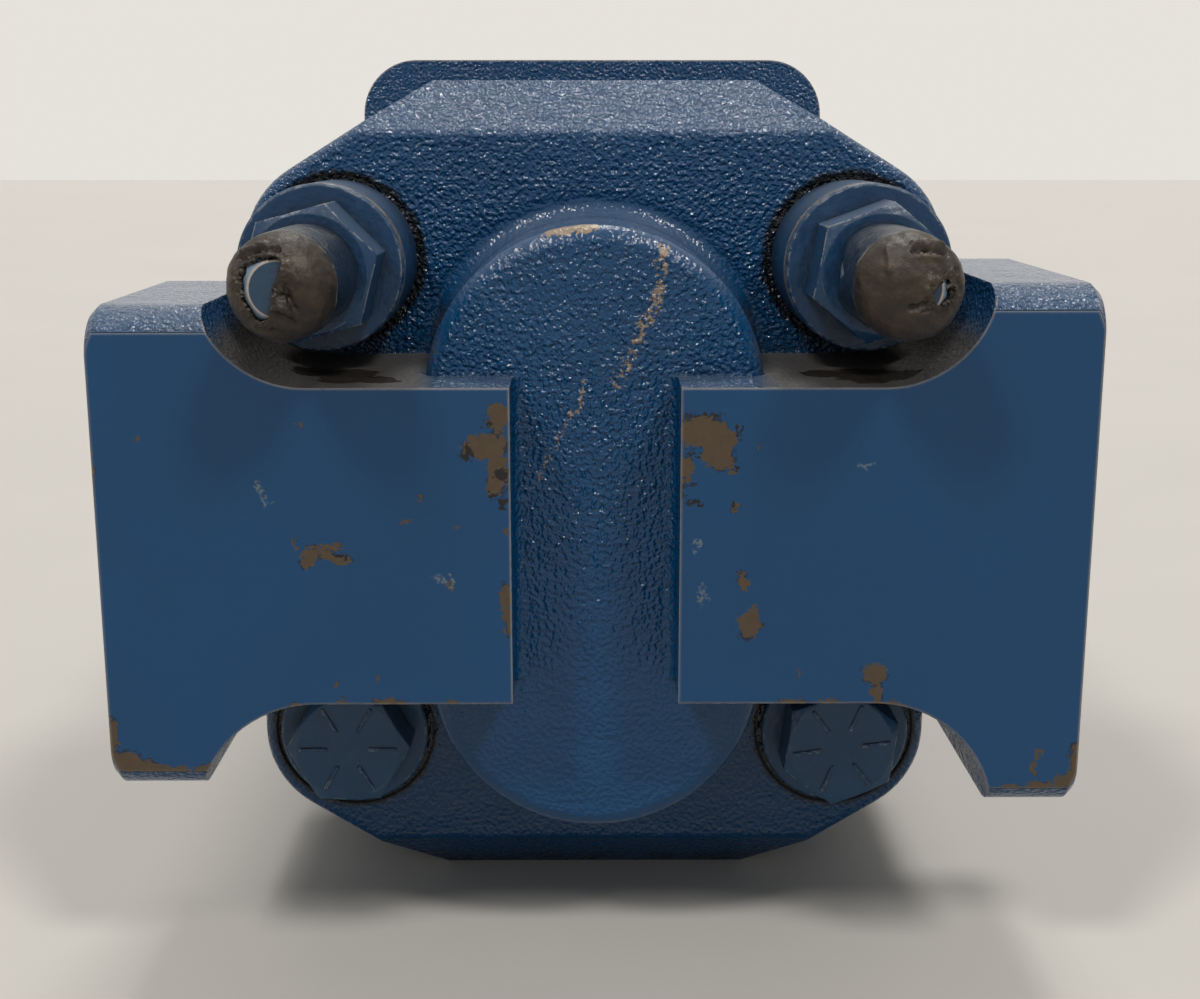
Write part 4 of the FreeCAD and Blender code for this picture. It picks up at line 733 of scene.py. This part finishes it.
marks_tree, marks_inputs = mark_tree()
joined = bmesh.new()
for side, turn in HEAD_TURNS.items():
    low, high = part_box(side + "_cap_screw")
    mesh = grown("marks_" + side, marks_tree, marks_inputs, {
        "Count": MARKS_PER_HEAD,
        "Inner": MARK_INNER,
        "Outer": MARK_OUTER,
        "Width": MARK_WIDTH,
        "Height": MARK_HEIGHT,
        "Turn": turn,
        "Place": ((low.x + high.x) / 2, low.y, (low.z + high.z) / 2),
        "Paint": screw_paint,
    })
    joined.from_mesh(mesh)
    bpy.data.meshes.remove(mesh)
marks_mesh = bpy.data.meshes.new("screw_grade_marks")
joined.to_mesh(marks_mesh)
joined.free()
marks_mesh.materials.append(screw_paint)
marks = placed_object("screw_grade_marks", marks_mesh)
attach(marks, "casing")


# The caps on the stud ends: soft brown-black vinyl, dipped and pushed on to keep the threads
# clean, and sprayed with the pump up to their domes. Both have split at the tip.
CAP_WALL = 0.0012
CAP_DOME = 0.0072
CAP_ROWS = 90
CAP_COLUMNS = 220
ROW_CROWDING = 1.35
HALVINGS = 30
NICKS = ((0.05, 4.0), (0.03, 11.0))
NICK_SEED = 90.0
COARSE_LUMPS = (260.0, 620.0)
FINE_LUMPS = 1500.0
CAP_SWELL = 0.00022
TEAR_SWELL = 0.00055
TEAR_GRIT = 0.0003
TEAR_REACH = 0.26
FOLD_SWAY = 0.0004
FOOT_FADE = 12.0
SKIN_INSET = 0.0003
TIP_CLEARANCE = 0.00002
CREASE_CORNER = 0.0035
SPRAY_END = -284.0
# The pump's blue spray, darkened as painted shade.
SHADED_SPRAY_BLUE = linear(12, 24, 37)
SPRAY_LIP = linear(112, 108, 92)
VINYL_DARK = linear(20, 14, 8)
VINYL_BROWN = linear(34, 26, 17)
VINYL_PALE = linear(60, 48, 33)
VINYL_FIBRES = linear(96, 82, 58)
# Grime and painted shade for the caps' creases.
CREASE_GRIME_AND_SHADE = linear(10, 8, 5)
LEFT_HOLE = [
    (-6.7, 0.0), (-6.6, 3.0), (-5.9, 4.8), (-3.0, 6.0), (0.2, 5.9), (1.3, 5.0), (0.7, 2.6),
    (-0.3, 0.6), (-0.5, -1.9), (-1.2, -4.2), (-2.2, -6.0), (-4.2, -5.7), (-5.5, -3.8), (-6.4, -1.7),
]
LEFT_FOLDS = [
    ((-6.6, 5.4), (-3.4, 7.1), 0.55, -0.75), ((-3.4, 7.1), (0.6, 7.0), 0.5, -0.75),
    ((-6.0, 6.6), (-2.4, 8.0), 0.7, 0.5), ((1.9, 0.6), (3.2, -3.6), 0.6, -0.7),
    ((0.6, -1.0), (2.2, -1.4), 0.5, -0.6), ((0.4, -4.6), (3.0, -6.2), 0.6, -0.7),
    ((2.2, 4.6), (3.9, 1.6), 0.9, 0.5), ((0.9, -3.0), (2.4, -3.9), 0.8, 0.6),
    ((-3.4, -7.2), (-0.4, -7.4), 0.6, -0.5),
]
RIGHT_HOLE = [
    (3.0, -0.6), (4.1, 1.0), (5.6, 2.0), (6.7, 1.2), (7.1, -0.6), (6.6, -2.4), (5.0, -3.4),
    (3.4, -2.6),
]
RIGHT_FOLDS = [
    ((-0.4, 6.7), (2.2, 7.1), 0.4, -0.8), ((2.2, 7.1), (5.8, 6.3), 0.7, -1.0),
    ((-0.2, 7.9), (5.2, 7.9), 0.55, 0.55), ((1.0, 5.7), (4.6, 5.4), 0.6, 0.4),
    ((-0.8, -3.4), (1.8, -3.0), 0.6, -0.8), ((1.6, -4.2), (3.2, -3.6), 0.5, -0.5),
    ((7.6, 3.4), (8.3, -0.4), 0.5, -0.7), ((1.8, -1.0), (2.4, 1.6), 0.6, 0.45),
    ((-4.6, 7.2), (-4.4, 3.4), 0.6, 0.4),
]


def torn_cap(side, outline, folds):
    """A cap as a skin that starts at the rim of its tear and ends at its open foot. The tear's
    outline and the folds are seen from the tip, in millimetres from the cap's axis."""
    low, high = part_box(side + "_stud_cap")
    radius = (high.x - low.x) / 2
    middle = Vector(((low.x + high.x) / 2, low.y + CAP_DOME, (low.z + high.z) / 2))
    corners = [(middle.x + x / PER_METRE, middle.z + z / PER_METRE) for x, z in outline]
    centre_x = sum(x for x, z in corners) / len(corners)
    centre_z = sum(z for x, z in corners) / len(corners)

    def on_dome(x, z):
        """The point of the dome at x and z."""
        share = min(math.hypot(x - middle.x, z - middle.z) / radius, 1.0)
        return Vector((x, middle.y - CAP_DOME * math.sqrt(1.0 - share * share), z))

    def in_tear(point):
        """True inside the tear, by counting the sides of its outline on one side of the point."""
        inside = False
        for index, (x, z) in enumerate(corners):
            last_x, last_z = corners[index - 1]
            if (z > point.z) != (last_z > point.z):
                if point.x < x + (point.z - z) * (last_x - x) / (last_z - z):
                    inside = not inside
        return inside and point.y < middle.y

    pole = (on_dome(centre_x, centre_z) - middle).normalized()
    across = pole.cross(Vector((0, 0, 1))).normalized()
    upward = across.cross(pole).normalized()
    creases = [
        (
            on_dome(middle.x + x0 / PER_METRE, middle.z + z0 / PER_METRE),
            on_dome(middle.x + x1 / PER_METRE, middle.z + z1 / PER_METRE),
            wide / PER_METRE,
            rise / PER_METRE,
        )
        for (x0, z0), (x1, z1), wide, rise in folds
    ]

    def skin(angle, turn):
        """The point of the plain cap at an angle from the tear's middle, in the way of a turn."""
        way = pole * math.cos(angle) + (
            across * math.cos(turn) + upward * math.sin(turn)
        ) * math.sin(angle)
        flat = math.hypot(way.x, way.z)
        if way.y < 0:
            reach = 1 / math.sqrt((flat / radius) ** 2 + (way.y / CAP_DOME) ** 2)
        else:
            reach = radius / max(flat, 1e-6)
        return middle + way * reach

    def last_angle(turn, still_before):
        """The angle at which a line from the pole crosses a border, by halving."""
        before, behind = 0.0, math.pi
        for _ in range(HALVINGS):
            trial = (before + behind) / 2
            if still_before(skin(trial, turn)):
                before = trial
            else:
                behind = trial
        return before

    # For each column of the skin: its turn, the tear's border with small nicks, and the foot.
    columns = []
    for column in range(CAP_COLUMNS):
        turn = 2 * math.pi * column / CAP_COLUMNS
        round_way = Vector((math.cos(turn), math.sin(turn), centre_x * NICK_SEED))
        nick = sum(depth * noise.noise(round_way * pace) for depth, pace in NICKS)
        foot = last_angle(turn, lambda point: point.y < high.y)
        columns.append((turn, last_angle(turn, in_tear) + nick, foot))

    # The skin, from the border to the foot: lumps all over, most by the tear, and the folds.
    shell = bmesh.new()
    grid = []
    for row in range(CAP_ROWS + 1):
        ring = []
        share = (row / CAP_ROWS) ** ROW_CROWDING
        for turn, near, foot in columns:
            angle = near + (foot - near) * share
            point = skin(angle, turn)
            outward = point - middle
            outward.y = min(outward.y, 0.0)
            outward.normalize()
            by_tear = math.exp(-((angle - near) / TEAR_REACH) ** 2)
            coarse = noise.noise(point * COARSE_LUMPS[0])
            coarse += 0.5 * noise.noise(point * COARSE_LUMPS[1])
            fine = noise.noise(point * FINE_LUMPS)
            swell = CAP_SWELL * coarse + TEAR_SWELL * by_tear * coarse
            swell += TEAR_GRIT * by_tear * fine
            bent = point + Vector((coarse, 0.0, fine)) * FOLD_SWAY
            for start, end, wide, rise in creases:
                along = (bent - start).dot(end - start) / (end - start).length_squared
                gap = (bent - start - (end - start) * min(max(along, 0.0), 1.0)).length
                swell += rise * math.exp(-((gap / wide) ** 2))
            fade = min(1.0, (1.0 - share) * FOOT_FADE)
            point = point + outward * (swell * fade - SKIN_INSET)
            point.y = max(point.y, low.y + TIP_CLEARANCE)
            from_axis = math.hypot(point.x - middle.x, point.z - middle.z)
            if from_axis > radius:
                point.x = middle.x + (point.x - middle.x) * radius / from_axis
                point.z = middle.z + (point.z - middle.z) * radius / from_axis
            ring.append(shell.verts.new(point))
        grid.append(ring)
    for row in range(CAP_ROWS):
        for column in range(CAP_COLUMNS):
            after = (column + 1) % CAP_COLUMNS
            shell.faces.new((
                grid[row][column], grid[row][after], grid[row + 1][after], grid[row + 1][column],
            ))

    # The faces turned outwards, and the wall grown inwards from them.
    bmesh.ops.recalc_face_normals(shell, faces=shell.faces)
    probe = grid[CAP_ROWS // 2][0]
    if probe.link_faces[0].normal.dot(probe.co - middle) < 0:
        bmesh.ops.reverse_faces(shell, faces=shell.faces)
    for face in shell.faces:
        face.smooth = True
    mesh = bpy.data.meshes.new(side + "_torn_cap")
    shell.to_mesh(mesh)
    shell.free()
    piece = placed_object(side + "_torn_cap", mesh)
    wall = piece.modifiers.new("wall", "SOLIDIFY")
    wall.thickness = CAP_WALL
    wall.offset = -1.0
    graph = bpy.context.evaluated_depsgraph_get()
    solid = bpy.data.meshes.new_from_object(piece.evaluated_get(graph))
    piece.modifiers.remove(wall)
    piece.data = solid
    bpy.data.meshes.remove(mesh)
    solid.name = side + "_torn_cap"
    return piece


def vinyl(name):
    """Old plastisol: waxy, brown-black with paler patches, grimy and darkened as painted shade in
    its creases, and under blue paint behind the dome, that paint darkened as painted shade."""
    finish = Finish(name)
    place = finish.millimetres()
    air = finish.openness(CREASE_CORNER)
    clouds = finish.grain(place, 0.18, 4.0)
    colour = finish.add(
        "ShaderNodeValToRGB",
        {"stops": [(0.3, VINYL_DARK), (0.52, VINYL_BROWN), (0.75, VINYL_PALE)]},
        {"Fac": clouds},
        "Color",
    )
    drawn = finish.vector("MULTIPLY", place, (1.0, 0.25, 1.0))
    fibres = finish.grain(drawn, 1.4, rough=0.7)
    colour = finish.layer(colour, VINYL_FIBRES, fibres.between(0.6, 0.8) * 0.35)
    y = finish.split(finish.shift(place, 0.25, 2.2))[1]
    sprayed = y.between(SPRAY_END - 0.6, SPRAY_END + 0.6)
    # The blue spray behind the dome, darker than the pump's paint as painted shade.
    colour = finish.layer(colour, SHADED_SPRAY_BLUE, sprayed)
    lip = (y - (SPRAY_END - 0.4)).size().between(0.9, 0.3)
    lip = lip * finish.grain(place, 0.4).between(0.45, 0.6)
    colour = finish.layer(colour, SPRAY_LIP, lip * 0.6)
    # Painted shade and grime in the creases, darker where they are narrow.
    colour = finish.layer(colour, CREASE_GRIME_AND_SHADE, (1.0 - air).between(0.2, 0.6) * 0.92)
    height = clouds * 0.35 + finish.grain(place, 1.1, 4.0) * 0.14
    gloss = 0.36 + finish.grain(place, 0.5) * 0.2 - sprayed * 0.15
    return finish.surface(colour, gloss, height)


cap_vinyl = vinyl("brown_black_vinyl")
for side, outline, folds in (("left", LEFT_HOLE, LEFT_FOLDS), ("right", RIGHT_HOLE, RIGHT_FOLDS)):
    cap = torn_cap(side, outline, folds)
    cap.data.materials.clear()
    cap.data.materials.append(cap_vinyl)
    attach(cap, "casing")
    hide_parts(side + "_stud_cap")


# The gears with their shafts and the key: case-hardened steel, hobbed, then ground on the
# journals. The shaft end stands unpainted and lightly oiled.
TURNED_EDGE = 0.0004
STEEL_STAIN = linear(92, 72, 52)
GEAR_STEEL = linear(178, 176, 172)
KEY_STEEL = linear(168, 164, 156)


def turned_steel(name, tone, gloss, ring_depth):
    """Steel with the fine rings that a lathe or a grinder leaves round the y axis."""
    finish = Finish(name)
    place = finish.millimetres()
    rings = finish.grain(finish.vector("MULTIPLY", place, (0.15, 3.0, 0.15)), 1.0)
    bloom = finish.grain(place, 0.09, 4.0)
    colour = finish.shade(tone, 0.72 + bloom * 0.4 + rings * 0.16)
    stain = finish.grain(place, 0.22, 4.0, 0.65).between(0.62, 0.72)
    colour = finish.layer(colour, STEEL_STAIN, stain * 0.35)
    rough = gloss + bloom * 0.16 + rings * 0.08 + stain * 0.15
    soft = finish.rounded(TURNED_EDGE)
    return finish.surface(colour, rough, rings * ring_depth, soft, Metallic=1.0)


gear_steel = turned_steel("ground_gear_steel", GEAR_STEEL, 0.22, 0.012)
key_steel = turned_steel("bright_key_steel", KEY_STEEL, 0.3, 0.004)
dress("drive_gear", gear_steel)
dress("driven_gear", gear_steel)
dress("shaft_key", key_steel)
for end in ("front", "rear"):
    for side in ("left", "right"):
        dress(f"{end}_{side}_dowel", key_steel)


# Inside, the shafts run in bronze: four rolled bushings and two thrust plates with pockets.
BRONZE_EDGE = 0.0003
BRONZE_SPECKS = linear(96, 66, 40)
BUSHING_BRONZE = linear(186, 140, 84)
PLATE_BRONZE = linear(176, 132, 74)


def bronze(name, tone):
    """Bearing bronze, clouded by oil and with dark specks."""
    finish = Finish(name)
    place = finish.millimetres()
    cloud = finish.grain(place, 0.11, 4.0)
    speck = finish.grain(place, 2.2, 2.0, 0.6).between(0.6, 0.7)
    colour = finish.shade(tone, 0.75 + cloud * 0.5)
    colour = finish.layer(colour, BRONZE_SPECKS, speck * 0.4)
    rough = 0.3 + cloud * 0.2 + speck * 0.1
    height = finish.grain(place, 1.5) * 0.02
    return finish.surface(colour, rough, height, finish.rounded(BRONZE_EDGE), Metallic=1.0)


bushing_bronze = bronze("bushing_bronze", BUSHING_BRONZE)
plate_bronze = bronze("thrust_plate_bronze", PLATE_BRONZE)
for end in ("front", "rear"):
    dress(end + "_thrust_plate", plate_bronze)
    for shaft in ("drive", "driven"):
        dress(f"{end}_{shaft}_bushing", bushing_bronze)


# The ball bearing on the drive shaft: ground rings and lapped balls of chromium steel in a
# pressed cage, held by two spring steel snap rings.
RACE_STEEL = linear(192, 192, 190)
BALL_STEEL = linear(204, 204, 202)
CAGE_STEEL = linear(150, 148, 142)
SNAP_STEEL = linear(58, 56, 54)

race_steel = turned_steel("bearing_ring_steel", RACE_STEEL, 0.16, 0.006)
ball_steel = turned_steel("bearing_ball_steel", BALL_STEEL, 0.08, 0.0)
cage_steel = turned_steel("pressed_cage_steel", CAGE_STEEL, 0.34, 0.004)
snap_steel = turned_steel("phosphated_snap_ring", SNAP_STEEL, 0.4, 0.004)
dress("bearing_outer_ring", race_steel)
dress("bearing_inner_ring", race_steel)
dress("bearing_balls", ball_steel)
dress("bearing_cage", cage_steel)
dress("bearing_snap_ring", snap_steel)
dress("shaft_snap_ring", snap_steel)
dress("seal_spring", cage_steel)


# Seals: the moulded nitrile lip seal in the front cover and the two cords in the joints.
NITRILE_BLACK = linear(34, 33, 33)
SEAL_DUST = linear(84, 80, 74)


def nitrile(name):
    """Moulded rubber, bloomed grey in patches and with a little dust on it."""
    finish = Finish(name)
    place = finish.millimetres()
    bloom = finish.grain(place, 0.2, 4.0)
    colour = finish.shade(NITRILE_BLACK, 0.7 + bloom * 0.6)
    dust = finish.grain(place, 1.2, 4.0).between(0.58, 0.72)
    colour = finish.layer(colour, SEAL_DUST, dust * 0.25)
    return finish.surface(colour, 0.45 + bloom * 0.25, finish.grain(place, 2.0) * 0.03)


seal_rubber = nitrile("black_nitrile")
dress("shaft_seal", seal_rubber)
dress("front_joint_seal", seal_rubber)
dress("rear_joint_seal", seal_rubber)


# The plain pale floor under the case's flat and the pale room round it. Two soft lamps stand
# over the front corners of the pump, as in the photograph, and a third above and behind it.
FLOOR_TONE = (0.42, 0.40, 0.37, 1.0)
FLOOR_REACH = 6.0
FLOOR_GRAIN = 0.00005
ROOM_TONE = (0.83, 0.80, 0.75, 1.0)
ROOM_STRENGTH = 0.95
FILL_TONE = (0.96, 0.98, 1.0, 1.0)
FILL_STRENGTH = 0.4
LAMP_TONE = (1.0, 0.98, 0.95)
LAMP_AWAY = 0.05
LAMPS = [
    ("right_lamp", (12, -15, 24), 1.45, 0.19),
    ("left_lamp", (-12.5, -15, 24), 1.45, 0.19),
    ("top_lamp", (1, 9, 20), 1.5, 0.3),
]

ground = model_box[0][2]
floor_mesh = bpy.data.meshes.new("floor")
floor_mesh.from_pydata(
    [
        (across * FLOOR_REACH, along * FLOOR_REACH, ground)
        for across, along in ((-1, -1), (1, -1), (1, 1), (-1, 1))
    ],
    [],
    [(0, 1, 2, 3)],
)
floor = placed_object("floor", floor_mesh)
floor_finish = Finish("pale_floor")
floor_place = floor_finish.millimetres()
worn_patches = floor_finish.grain(floor_place, 0.006, 4.0)
floor_finish.surface(
    floor_finish.shade(FLOOR_TONE, 0.94 + worn_patches * 0.12),
    0.45 + worn_patches * 0.15,
    floor_finish.grain(floor_place, 0.4, 2.0, 0.5),
    depth=FLOOR_GRAIN,
)
floor_mesh.materials.append(floor_finish.material)

world = bpy.data.worlds.new("pale_room")
world.use_nodes = True
bpy.context.scene.world = world
sky = world.node_tree
sky.nodes.clear()
rays = sky.nodes.new("ShaderNodeLightPath").outputs
seen = rays["Is Camera Ray"]
for kind in ("Is Glossy Ray", "Is Transmission Ray"):
    seen = add_node(sky, "ShaderNodeMath", {"operation": "MAXIMUM"}, {0: seen, 1: rays[kind]})
room, fill = (
    add_node(sky, "ShaderNodeBackground", {}, {"Color": tone, "Strength": strength})
    for tone, strength in ((ROOM_TONE, ROOM_STRENGTH), (FILL_TONE, FILL_STRENGTH))
)
mixed = add_node(sky, "ShaderNodeMixShader", {}, {0: seen, 1: fill, 2: room})
add_node(sky, "ShaderNodeOutputWorld", {}, {"Surface": mixed})

for name, towards, strength, spread in LAMPS:
    light = bpy.data.lights.new(name, "SUN")
    light.energy = strength
    light.angle = spread
    light.color = LAMP_TONE
    holder = bpy.data.objects.new(name, light)
    holder.rotation_euler = Vector(towards).to_track_quat("Z", "Y").to_euler()
    holder.location = Vector(towards) * LAMP_AWAY
    bpy.context.scene.collection.objects.link(holder)
